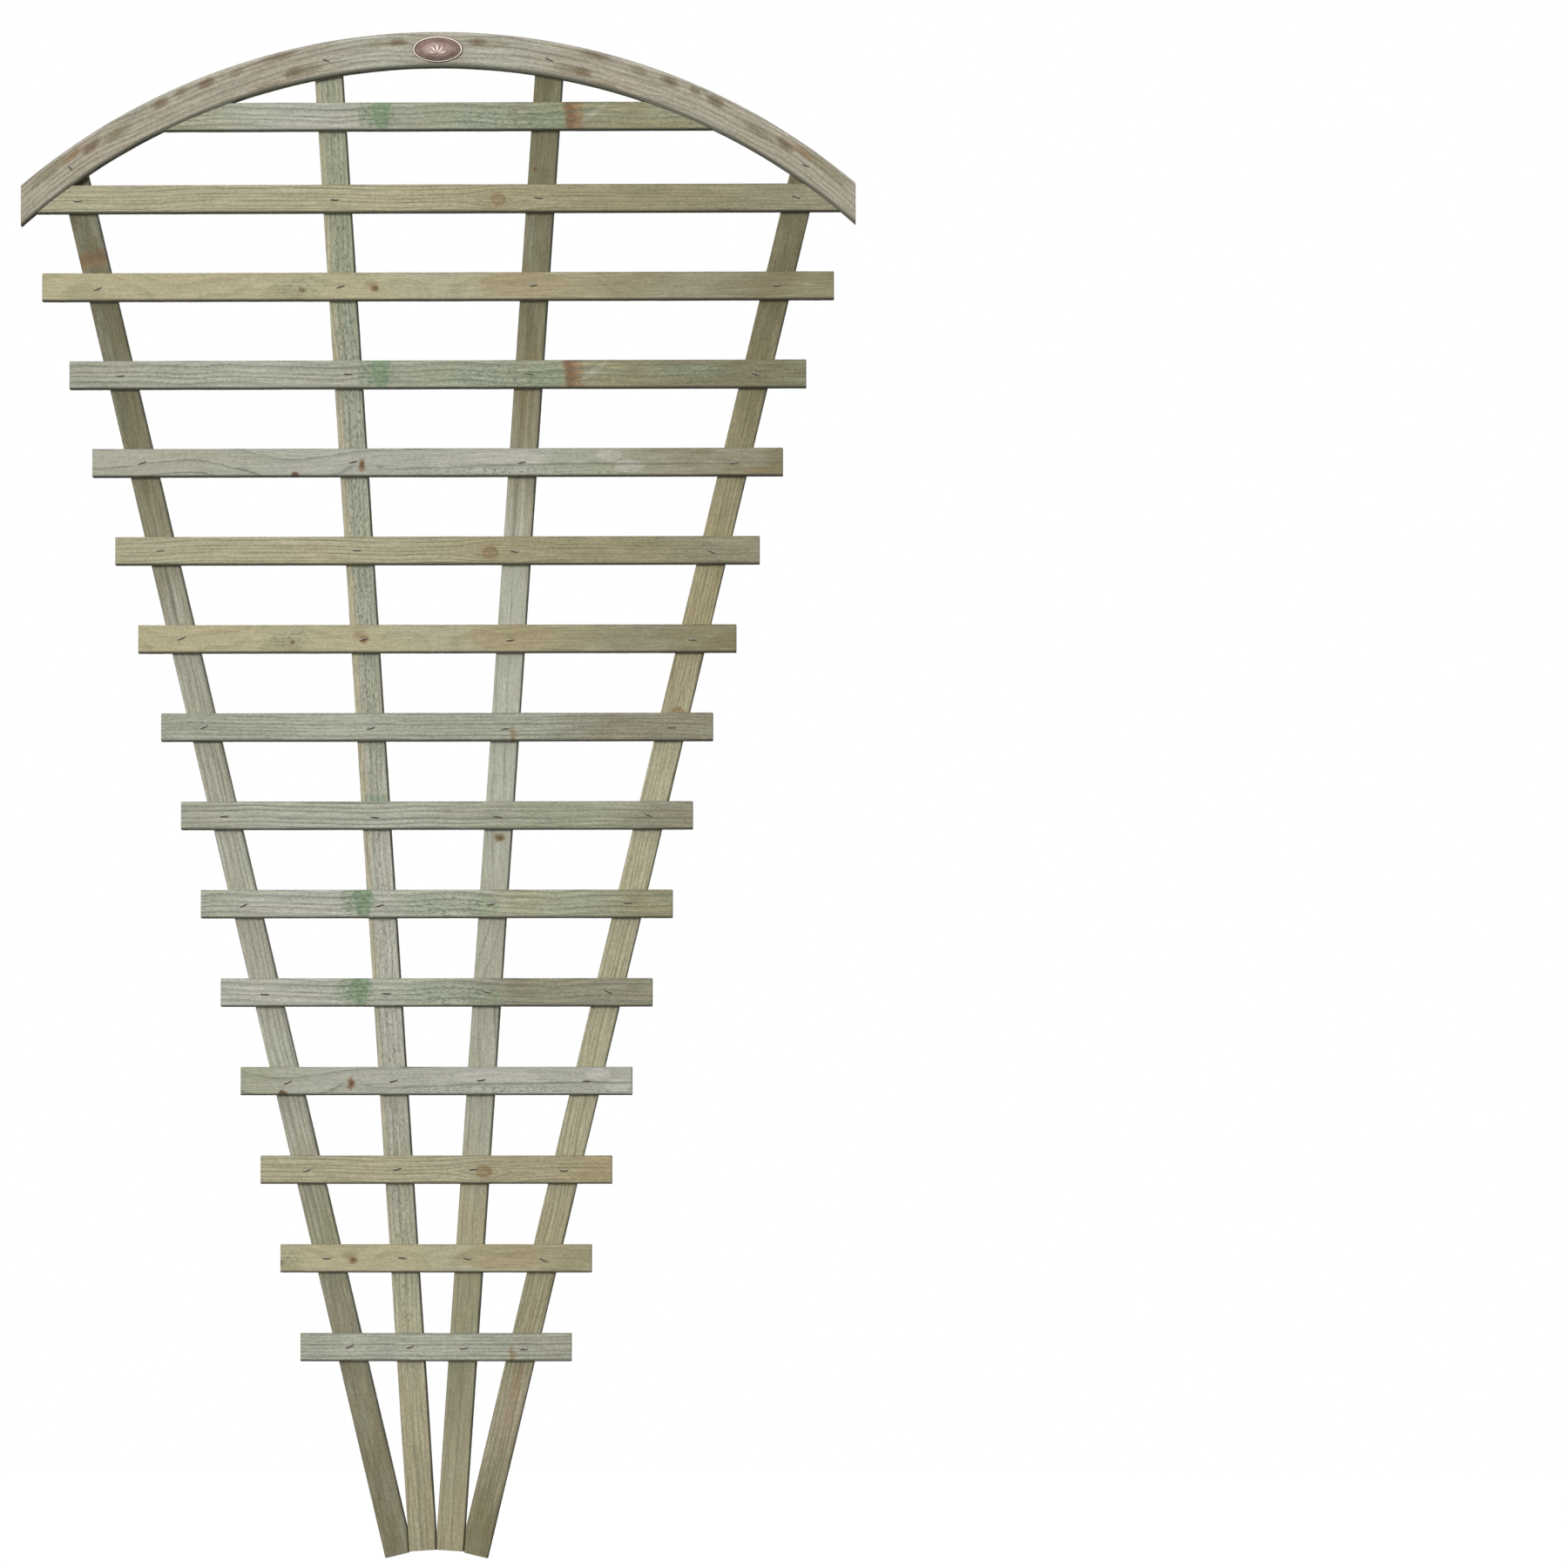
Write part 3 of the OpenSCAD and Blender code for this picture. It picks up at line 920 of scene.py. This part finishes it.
def crown_shadows(dents):
    """The painted shadow that each staple's crown casts along its lower side."""
    return [("slit", (x + SHADOW_BELOW * math.sin(turn), z - SHADOW_BELOW * math.cos(turn)),
             SHADOW_REACH, "slit", 0.92, turn) for x, z, turn, faces_back in dents
            if not faces_back]


def slat_marks(row):
    """The marks of one slat, from its kind and its place in the plank."""
    kind = kind_of[row]
    knots = KNOTS.get(row, [])
    if kind == "furry" and row <= LAST_WITH_BAND:
        return furry_marks(TAG_AT[row], 77, 76) + [
            ("stain", (165, 0), (15, 60), "rust", 1.0, 0.10),
            ("stain", (158, 4), (7, 40), "resin", 1.0, 0.14),
            ("stain", (187, 3), (22, 4), "bleach", 0.40, 0.65),
            ("stain", (300, 3), (60, 12), "lichen", 0.35),
            ("torn", (308, 0), (56, 14), "torn", 0.6)]
    if kind == "furry":
        return furry_marks(TAG_AT[row], 15, 60)
    if kind == "even":
        (x, z, size), = knots
        return [("knot", (x, z), (size * 1.2, size * 0.95), "pale_knot", 0.75),
                ("mottle", (x + 2, z + 1), (size * 0.9, size * 0.7), "cocoa", 0.7),
                ("stain", (x + 272, -17), (12, 4), "resin", 0.8)]
    if kind == "smooth":
        (x, z, size), = knots
        return [("knot", (x, z), (size * 1.1, size * 0.9), "dark_knot", 0.9),
                ("stain", (x - 5, z + 5), (11, 7), "brown", 0.55),
                ("stain", (x - 89, 0), (36, 13), "lichen", 0.35),
                ("torn", (x - 89, 0), (36, 13), "torn", 0.55),
                ("stain", (x - 87, z - 3), (5, 4), "dark_knot", 0.8),
                ("tag", (x + 178, 2), (58, 17), "tan", 0.85),
                ("stain", (x - 95, -12), (40, 8), "umber", 0.25)]
    if kind == "bold":
        (x, z, _), (x2, z2, _) = knots
        return [("knot", (x, z), (5.5, 9), "dark_knot", 1.0),
                ("knot", (x2, z2), (6, 5.5), "black_knot", 1.0),
                ("tag", (x + 174, 5), (54, 9), "bleach", 0.5),
                ("tag", (x + 296, 8), (17, 8), "bleach", 0.6),
                ("tag", (x + 321, -5), (20, 9), "bleach", 0.55),
                ("torn", (x + 190, -11), (170, 6), "torn", 0.6),
                ("stain", (x + 473, -12), (30, 7), "rust", 0.35)]
    if kind == "fine":
        return [("knot", (91, -9), (4, 14), "brown", 0.85),
                ("knot", (91, -16), (4, 4), "dark_knot", 0.7)]
    return [("stain", (-150, 0), (40, 30), "lichen", 0.15)]


# %% [markdown]
# ## The slats
#
# Each slat lies flat in front of the uprights. The top two are cut to the
# curve of the rail, so near its ends the net is stretched until the end lies
# on the rail's lower arc, and the points keep their true places for the grain.

# %% Make the slats
SCRIBE_GAP = 0.3
SCRIBE_RUN = 150
SCRIBED = (1, 2)


def slat_placer(low, high, scribed):
    """The move from a slat's own mm to the frame, and the fitting of its ends."""
    centre = (low + high) / 2
    half_length = (high.x - low.x) / 2

    def place(points, final):
        if final:
            return points, (points + np.array(centre)) * MM
        fitted = points.copy()
        if scribed:
            height = points[:, 2] + centre.z - lower_centre
            wanted = np.sqrt(lower_radius ** 2 - height ** 2) - SCRIBE_GAP - half_length
            part = np.clip((np.abs(points[:, 0]) - half_length + SCRIBE_RUN) / SCRIBE_RUN, 0, 1)
            fitted[:, 0] += np.sign(points[:, 0]) * wanted * part ** 2 * (3 - 2 * part)
        return fitted, fitted

    return place


for row in range(1, 16):
    node = f"slat_{row:02d}"
    low, high = (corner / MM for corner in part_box(node))
    size = (high.x - low.x, high.z - low.z, high.y - low.y)
    middle = (low.z + high.z) / 2
    dents = [(x, z - middle, turn, False) for x, z, turn in slat_crowns
             if low.z < z < high.z]
    kind = kind_of[row]
    order = list(SLAT_KINDS).index(kind)
    board = make_board(f"{node}_board", node, size, GRAIN[kind],
                       slat_placer(low, high, row in SCRIBED), seed=order * 3 + 2,
                       knots=KNOTS.get(row, ()), dents=dents, tears=TEARS.get(row, ()))
    board.data.materials.append(treated_softwood(
        f"treated_softwood_{node}", size[0], SLAT_TONES[row].split(), LOOK[kind],
        slat_marks(row) + crown_shadows(dents), seed=order + 1))
print("slats:", sum(v for k, v in board_triangles.items() if "slat" in k), "triangles")

# %% [markdown]
# ## What each upright looks like
#
# The four uprights come from four of the same planks, but each has its own
# tones from foot to top, partly wood and partly painted shade. The inner left
# one is furry all the way up, and the inner pair has the strongest painted
# shade along its right-hand side.

# %% The four uprights' figures
# tones run from foot to top; the darker ones at the foot and the top are partly painted shade
UPRIGHTS = {
    # the number after the look sets how dark the painted shade on the right-hand side is
    "upright_outer_left": {
        "kind": "waved", "look": {"line": 0.70}, "soak": 0.45,
        "tones": "umber umber drab moss stone silver stone silver stone ash drab umber "
                 "bark bark bark",
        "marks": [("stain", (739, 0), (13, 60), "rust", 1.0),
                  ("stain", (742, -4), (10, 24), "cocoa", 1.0),
                  ("stain", (705, -6), (24, 5), "rust", 0.35),
                  ("stain", (-300, 10), (22, 10), "umber", 0.35)]},
    "upright_inner_left": {
        "kind": "furry", "look": {"line": 0.50, "drift": "hay"}, "soak": 0.95,
        "tones": "tan hay ash chalk chalk ash ash ash sage sage",
        "marks": [("torn", (430, -2), (520, 15), "torn", 0.75),
                  ("torn", (-350, 0), (420, 15), "torn", 0.55),
                  ("stain", (430, -4), (520, 9), "lichen", 0.50),
                  ("tag", (-10, 0), (16, 30), "green", 0.55),
                  ("stain", (200, 16), (1000, 9), "straw", 1.0)]},
    "upright_inner_right": {
        "kind": "bold", "look": {"line": 0.60, "drift": "sage", "blotch": 0.30}, "soak": 0.80,
        "tones": "tan moss moss tan ash ash ash silver silver silver silver drab umber "
                 "bark bark bark",
        "marks": [("stain", (758, 9), (5, 5), "dark_knot", 0.8),
                  ("knot", (-48, -3), (6, 8), "dark_knot", 0.95),
                  ("stain", (480, 3), (60, 8), "rust", 0.3),
                  ("stain", (-700, 3), (90, 12), "umber", 0.3)],
        "knots": [(-48, -3, 8)]},
    "upright_outer_right": {
        "kind": "even", "look": {}, "soak": 0.30,
        "tones": "umber fawn moss tan hay hay hay hay hay tan ochre olive umber bark bark",
        "marks": [("knot", (175, -4), (10, 9), "pale_knot", 0.95),
                  ("stain", (-640, -2), (110, 9), "rust", 0.45)],
        "knots": [(175, -4, 9)]},
}

# %% [markdown]
# ## How an upright stands
#
# An upright is one more board, stood on end and leaned over. Its lean follows
# from two points: the foot, set out from the middle line, and the top corner,
# which the CAD box gives. At the crowded foot each upright is cut back along
# its neighbour, so the net is drawn in there on the side towards the middle.

# %% Stand an upright
BOARD_WIDTH = size[1]
FOOT_OUT = {"outer": 43.7, "inner": 15.2}
FOOT_GAP = 0.3
LEAN_TRIES = 20


def upright_lean(pair):
    """Lean in radians and the distance up the middle line to the square-cut top."""
    low, high = (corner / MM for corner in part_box(f"upright_{pair}_right"))
    lean, half = 0.1, BOARD_WIDTH / 2
    for _ in range(LEAN_TRIES):
        out = high.x - FOOT_OUT[pair] - half * math.cos(lean)
        up = high.z - half * math.sin(lean)
        lean = math.atan2(out, up)
    return lean, math.hypot(out, up), low.z


def upright_placer(pair, side, thick):
    """The move from an upright's own mm to the frame, with its foot fitted."""
    lean, top, lift = upright_lean(pair)
    inner_lean = upright_lean("inner")[0]
    half = BOARD_WIDTH / 2
    foot = (half * math.sin(lean) + lift) / math.cos(lean)
    length = top - foot
    sin, cos = math.sin(lean), math.cos(lean)

    def room(z):
        """Where the neighbour's side, or the middle line, lies at a height."""
        if pair == "inner":
            return np.full_like(z, FOOT_GAP / 2)
        return (FOOT_OUT["inner"] + z * math.tan(inner_lean)
                + (half + FOOT_GAP) / math.cos(inner_lean))

    def place(points, final):
        reach = points[:, 0] + length / 2 + foot
        out = -side * points[:, 2]
        if final:
            world_x = side * (FOOT_OUT[pair] + reach * sin + out * cos)
            world_z = reach * cos - out * sin
            return points, np.stack([world_x, points[:, 1] + thick / 2, world_z], 1) * MM
        edge_x = FOOT_OUT[pair] + reach * sin - half * cos
        short = np.clip((room(reach * cos + half * sin) - edge_x) / cos, 0, None)
        drawn_in = half - (half - out) * (1 - short / BOARD_WIDTH)
        fitted = points.copy()
        fitted[:, 2] = -side * drawn_in
        return fitted, fitted

    return place, length


# %% [markdown]
# ## Making the four
#
# Two staples hold the top slat from behind, through the inner uprights. Each
# leaves its groove in the back, so its place is worked out along the board.

# %% Make the uprights
# how far the painted shade reaches in from an upright's right-hand side, in mm
UPRIGHT_SHADE_MM = 2.2
for index, (name, its) in enumerate(UPRIGHTS.items()):
    _, pair, hand = name.split("_")
    side = -1 if hand == "left" else 1
    low, high = (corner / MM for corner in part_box(name))
    thick = high.y - low.y
    place, length = upright_placer(pair, side, thick)
    lean, top, lift = upright_lean(pair)
    dents = []
    for x, z, turn in back_crowns:
        if pair == "inner" and x * side > 0:
            reach = (abs(x) - FOOT_OUT[pair]) * math.sin(lean) + z * math.cos(lean)
            dents.append((reach - (top - length) - length / 2, 0.0, math.pi / 2 - lean, True))
    board = make_board(f"{name}_board", name, (length, BOARD_WIDTH, thick),
                       GRAIN[its["kind"]], place, seed=31 + 4 * index, dents=dents,
                       knots=its.get("knots", ()), soaked=UPRIGHT_SHADE_MM)
    board.data.materials.append(treated_softwood(
        f"treated_softwood_{name}", length, its["tones"].split(),
        {**LOOK[its["kind"]], **its["look"]}, its["marks"], seed=11 + index, soak=its["soak"]))
    print(name, "lean", round(math.degrees(lean), 2), "length", round(length, 1), "mm")

# %% [markdown]
# ## The curved rail
#
# The rail starts as the same straight net. Each of its lines across the board
# is then stood on the two arcs: the line's foot on the lower arc, its head on
# the outer one, in upright planes, so the cut ends come out upright too. The
# points keep their place in the straight net, so the grain follows the curve,
# as it does on the real rail.

# %% Bend the rail's net
RAIL_EASE = 2.6
SLAT_MEETS = ((298, 44), (478, 42))
MEET_FADE = 12
MEET_SQUARE = 0.85
rail_thick = rail_high.y - rail_low.y
rail_depth = crown_top - crown_bottom
half_turn = math.asin(half_span / outer_radius)
arc_half = outer_radius * half_turn


def meets_slat(x):
    """1 where a slat's end butts against the rail, falling to 0 beside it."""
    return sum(np.clip((reach - np.abs(np.abs(x) - at)) / MEET_FADE + 1, 0, 1)
               for at, reach in SLAT_MEETS)


def rail_place(points, final):
    """The straight net stood on the two arcs."""
    if not final:
        # where a slat butts, the lower front arris is left almost square
        half = np.array([rail_thick, rail_depth]) / 2
        centre = np.clip(points[:, 1:], RAIL_EASE - half, half - RAIL_EASE)
        arm = points[:, 1:] - centre
        longest = np.maximum(np.abs(arm).max(axis=1), 1e-9)
        square = centre + arm * (np.hypot(*arm.T) / longest)[:, None]
        lower_front = (arm[:, 0] < 0) & (arm[:, 1] < 0)
        share = MEET_SQUARE * meets_slat(points[:, 0]) * lower_front
        fitted = points.copy()
        fitted[:, 1:] += (square - points[:, 1:]) * share[:, None]
        return fitted, fitted
    x = outer_radius * np.sin(points[:, 0] / arc_half * half_turn)
    lower = height_on(lower_centre, lower_radius, x)
    upper = height_on(outer_centre, outer_radius, x)
    part = points[:, 2] / rail_depth + 0.5
    z = lower + part * (upper - lower)
    return points, np.stack([x, points[:, 1] - rail_thick / 2, z], 1) * MM


def on_rail(x, z):
    """A point of the frame in the rail's own mm, along and across."""
    lower = height_on(lower_centre, lower_radius, x)
    upper = height_on(outer_centre, outer_radius, x)
    part = (z - lower) / (upper - lower)
    return outer_radius * math.asin(x / outer_radius), float(part - 0.5) * rail_depth


# %% [markdown]
# ## The rail's wood
#
# The rail's wood is greyer and rosier than the laths', with brown blotches,
# most of them along its upper half. Their places are listed for one half, as
# distances from the crown, and each is laid on both. A pale line along the top
# is a painted highlight, and the lower edge gets the widest painted shade.

# %% Make the rail
RAIL_TONES = ("stone rose stone stone rose stone silver stone silver stone rose stone "
              "stone rose stone")
# how far the painted shade reaches up from the rail's lower edge, in mm
RAIL_SHADE_MM = 4.8
rail_grain = {"pith": (-95, 35), "ring": 6.2, "wander": 2.6, "span": 460}
rail_look = {"drift": "ash", "blotch": 0.40, "line": 0.62, "late": "ring_pink",
             "start": 0.50, "fibre": 0.22}
dents = []
for x, z, turn in rail_crowns:
    run, across = on_rail(x, z)
    dents.append((run, across, turn + math.asin(x / outer_radius), False))

# a blotch is (along, across), half its size each way, ramp and strength
RAIL_BLOTCHES = [
    (498, 12, 44, 8, "umber", 0.85), (466, 11, 22, 7, "rust", 0.75), (440, 7, 17, 8, "cocoa", 1.0),
    (404, 4, 26, 8, "umber", 0.95), (345, 12, 15, 7, "cocoa", 1.0), (318, 14, 10, 6, "cocoa", 0.8),
    (285, 12, 13, 7, "cocoa", 1.0), (246, 12, 12, 7, "umber", 0.75), (192, 17, 26, 7, "cocoa", 0.95),
    (175, -8, 15, 7, "cocoa", 1.0), (158, -8, 22, 7, "umber", 0.85), (205, -16, 20, 6, "umber", 0.7),
    (48, 10, 15, 6, "cocoa", 1.0), (72, 10, 20, 6, "umber", 0.65),
]
rail_marks = [("stain", (side * at, across), (half_long, half_high), ramp, strength)
              for side in (-1, 1)
              for at, across, half_long, half_high, ramp, strength in RAIL_BLOTCHES]
# painted highlight: a pale line along the rail's top edge
rail_marks.append(("tag", (0, rail_depth / 2), (700, 4.5), "bleach", 0.55))

rail = make_board("arch_rail_board", "arch_rail",
                  (2 * arc_half, rail_depth, rail_thick), rail_grain, rail_place,
                  seed=61, ease=RAIL_EASE, dents=dents, soaked=RAIL_SHADE_MM)
rail.data.materials.append(treated_softwood(
    "treated_softwood_rail", 2 * arc_half, RAIL_TONES.split(), rail_look,
    rail_marks + crown_shadows(dents), seed=23))
print("rail:", board_triangles["arch_rail_board"], "triangles")

# %% [markdown]
# ## Galvanised staples
#
# Fencing staples are drawn steel wire with a bright zinc coat. Zinc is a metal
# with a soft gleam, so its roughness is middling, and a fine noise stands for
# the rub marks that the staple gun leaves. The CAD nodes keep their shape.

# %% The staples' material
RUB_MM = 0.9

zinc, tree = new_material("bright_galvanised_steel_wire")
where = add(tree, "TexCoord").outputs["Object"]
rub = add(tree, "TexNoise", {"Vector": where, "Scale": 1 / (RUB_MM * MM),
          "Detail": 2.0}).outputs[0]
zinc_colour = add(tree, "ValToRGB", {0: rub}, stops=[
    (0.3, linear("#8f8f8b")), (0.7, linear("#bdbcb6"))]).outputs[0]
zinc_rough = add(tree, "MapRange", {"Value": rub, "To Min": 0.28,
                 "To Max": 0.48}).outputs[0]
shader = add(tree, "BsdfPrincipled", {"Base Color": zinc_colour, "Metallic": 1.0,
             "Roughness": zinc_rough})
add(tree, "OutputMaterial", {"Surface": shader.outputs[0]})
for name in ("slat_staples", "arch_staples", "back_staples"):
    nodes[name].data.materials.clear()
    nodes[name].data.materials.append(zinc)

# %% [markdown]
# ## The maker's plate
#
# An oval plate is stamped from thin sheet: one blow raises the rim and the
# ornament and leaves the field low. It grows here from one ellipse. Each
# inset, moved up or down, is one step of the profile, which gives a rim of
# even width all round.

# %% Stamp the plate
plate_low, plate_high = (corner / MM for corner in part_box("badge"))
plate_wide = plate_high.x - plate_low.x
plate_tall = plate_high.z - plate_low.z
plate_front = plate_low.y
plate_back = rail_low.y
proud = plate_back - plate_front
EDGE_POINTS = 96
FIELD = 0.9
RIM_STEPS = [(0.30, proud - 0.35), (0.35, proud - 0.08), (0.60, proud), (0.60, proud - 0.06),
             (0.45, proud - 0.30), (0.50, FIELD - 0.12), (0.9, FIELD - 0.16), (1.3, FIELD - 0.06)]
DOME = [(0.75, FIELD + 0.14), (0.5, FIELD + 0.26), (0.25, FIELD + 0.32)]
EDGE_HIGH = 0.7

bm = bmesh.new()
bmesh.ops.create_circle(bm, cap_ends=True, radius=0.5, segments=EDGE_POINTS)
bmesh.ops.scale(bm, vec=(plate_wide, plate_tall, 1), verts=bm.verts)
bm.faces.ensure_lookup_table()
face = bm.faces[0]
if face.normal.z < 0:
    bmesh.ops.reverse_faces(bm, faces=[face])
grown = bmesh.ops.extrude_face_region(bm, geom=[face])["geom"]
bmesh.ops.reverse_faces(bm, faces=[face])
top = next(g for g in grown if isinstance(g, bmesh.types.BMFace))
for v in top.verts:
    v.co.z = proud - EDGE_HIGH
for inset, height in RIM_STEPS:
    bmesh.ops.inset_region(bm, faces=[top], thickness=inset, use_even_offset=True)
    for v in top.verts:
        v.co.z = height
outline = [v.co.copy() for v in top.verts]
for share, height in DOME:
    bmesh.ops.inset_region(bm, faces=[top], thickness=0.2, use_even_offset=True)
    for v, start in zip(top.verts, outline):
        v.co = (start.x * share, start.y * share, height)


# %% [markdown]
# ## The plate's ornament
#
# A sprig of five domed leaves stands in the middle of the field, with an arc of
# beads below it and a slot at each end for the prongs that hold the plate.

# %% Leaves, beads and slots
def leaf(long, wide, tall, turn, root):
    """A domed leaf with a pointed tip, set into the field."""
    made = bmesh.ops.create_uvsphere(bm, u_segments=20, v_segments=10, radius=1)["verts"]
    for v in made:
        # pinch the ball to a point at both ends, and raise a rib along its back
        taper = math.sqrt(max(0.0, 1 - abs(v.co.x))) if abs(v.co.x) < 1 else 0.0
        rib = 0.25 * max(0.0, 1 - abs(v.co.y) * 4) * taper
        v.co = Vector((v.co.x * long / 2 + long / 2, v.co.y * wide / 2 * (0.35 + 0.65 * taper),
                       (v.co.z * 0.8 + rib) * tall))
    bmesh.ops.rotate(bm, cent=(0, 0, 0), matrix=Matrix.Rotation(math.radians(turn), 3, "Z"),
                     verts=made)
    bmesh.ops.translate(bm, vec=root, verts=made)


LEAF_TURNS = (90, 50, 130, 14, 166)
LEAF_TALL = 0.48
SPRIG_ROOT = (0, -0.16 * plate_tall, FIELD + 0.22)
for turn in LEAF_TURNS:
    leaf(0.42 * plate_tall, 0.15 * plate_tall, LEAF_TALL, turn, SPRIG_ROOT)
BEADS, BEAD_RADIUS = 9, 0.8
ARC_FROM, ARC_TURN = 234, 72
for n in range(BEADS):
    turn = math.radians(ARC_FROM + ARC_TURN * n / (BEADS - 1))
    spot = (0.37 * plate_wide * math.cos(turn), 0.35 * plate_tall * math.sin(turn), FIELD)
    bmesh.ops.create_icosphere(bm, subdivisions=2, radius=BEAD_RADIUS,
                               matrix=Matrix.Translation(spot))
# the two slots that the fixing prongs are pressed through
SLOT_SIZE = (0.9, 5.0, 0.35)
for side in (-1, 1):
    spot = Matrix.Translation((side * 0.35 * plate_wide, 0, FIELD + 0.02))
    slot = bmesh.ops.create_cube(bm, size=1, matrix=spot @ Matrix.Diagonal((*SLOT_SIZE, 1)))
    sides = list({e for v in slot["verts"] for e in v.link_edges})
    bmesh.ops.bevel(bm, geom=sides, offset=0.12, segments=2, profile=0.5, affect="EDGES",
                    material=-1)
bmesh.ops.recalc_face_normals(bm, faces=bm.faces)

# %% [markdown]
# ## Putting the plate in place
#
# The plate was drawn lying flat, in millimetres. One transform turns it
# upright, moves it to its place on the rail and brings it to metres.

# %% Place the plate
PLATE_MIDDLE = Vector(((plate_low.x + plate_high.x) / 2, plate_back,
                       (plate_low.z + plate_high.z) / 2))
stand_up = Matrix.Rotation(math.pi / 2, 4, "X")
to_frame = Matrix.Diagonal((MM, MM, MM, 1)) @ Matrix.Translation(PLATE_MIDDLE) @ stand_up
bmesh.ops.transform(bm, matrix=to_frame, verts=bm.verts)
plate_mesh = bpy.data.meshes.new("badge_plate")
bm.to_mesh(plate_mesh)
bm.free()
plate_mesh.shade_smooth()
plate_mesh.set_sharp_from_angle(angle=CREASE)
plate = show(bpy.data.objects.new("badge_plate", plate_mesh))
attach(plate, "root")
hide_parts("badge")
print("plate:", len(plate_mesh.polygons), "faces,", round(plate_wide), "by", round(plate_tall), "mm")

# %% [markdown]
# ## Bronze plate
#
# The plate is bronze-plated and rubbed: the high parts are bright and nearly
# bare, and the low field keeps a rosy brown tarnish. Height above the field is
# what rubbing depends on, so the material reads it from the object's own
# coordinates: the plate stands upright, and its height runs along Y.

# %% The plate's material
TARNISH_MM = 11

bronze, tree = new_material("rubbed_bronze_plate")
where = add(tree, "TexCoord").outputs["Object"]
depth = add(tree, "SeparateXYZ", {0: where}).outputs[1]
stain = add(tree, "TexNoise", {"Vector": where, "Scale": 1 / (TARNISH_MM * MM),
            "Detail": 2.0}).outputs[0]
rise = add(tree, "MapRange", {"Value": depth, "From Min": (plate_back - FIELD - 0.05) * MM,
           "From Max": (plate_back - proud) * MM}).outputs[0]
patchy = add(tree, "Math", {0: stain, 1: 0.30, 2: rise},
             operation="MULTIPLY_ADD").outputs[0]
bronze_colour = add(tree, "ValToRGB", {0: patchy}, stops=[
    (0.12, linear("#5c4c45")), (0.40, linear("#82706a")), (0.70, linear("#9c8e84")),
    (1.0, linear("#c2b8aa"))]).outputs[0]
# painted reflection: the plate is lighter at the top and darker at the bottom
level = add(tree, "SeparateXYZ", {0: where}).outputs[2]
painted_reflection = add(tree, "MapRange", {"Value": level, "From Min": plate_low.z * MM,
             "From Max": plate_high.z * MM, "To Min": 0.62, "To Max": 1.10}).outputs[0]
bronze_colour = add(tree, "VectorMath", {0: bronze_colour, 1: painted_reflection},
                    operation="MULTIPLY").outputs[0]
shader = add(tree, "BsdfPrincipled", {"Base Color": bronze_colour, "Metallic": 1.0,
             "Roughness": 0.52})
add(tree, "OutputMaterial", {"Surface": shader.outputs[0]})
plate_mesh.materials.append(bronze)

# %% Sizes and finish
print("board triangles:", sum(board_triangles.values()), "most:", max(board_triangles.values()))
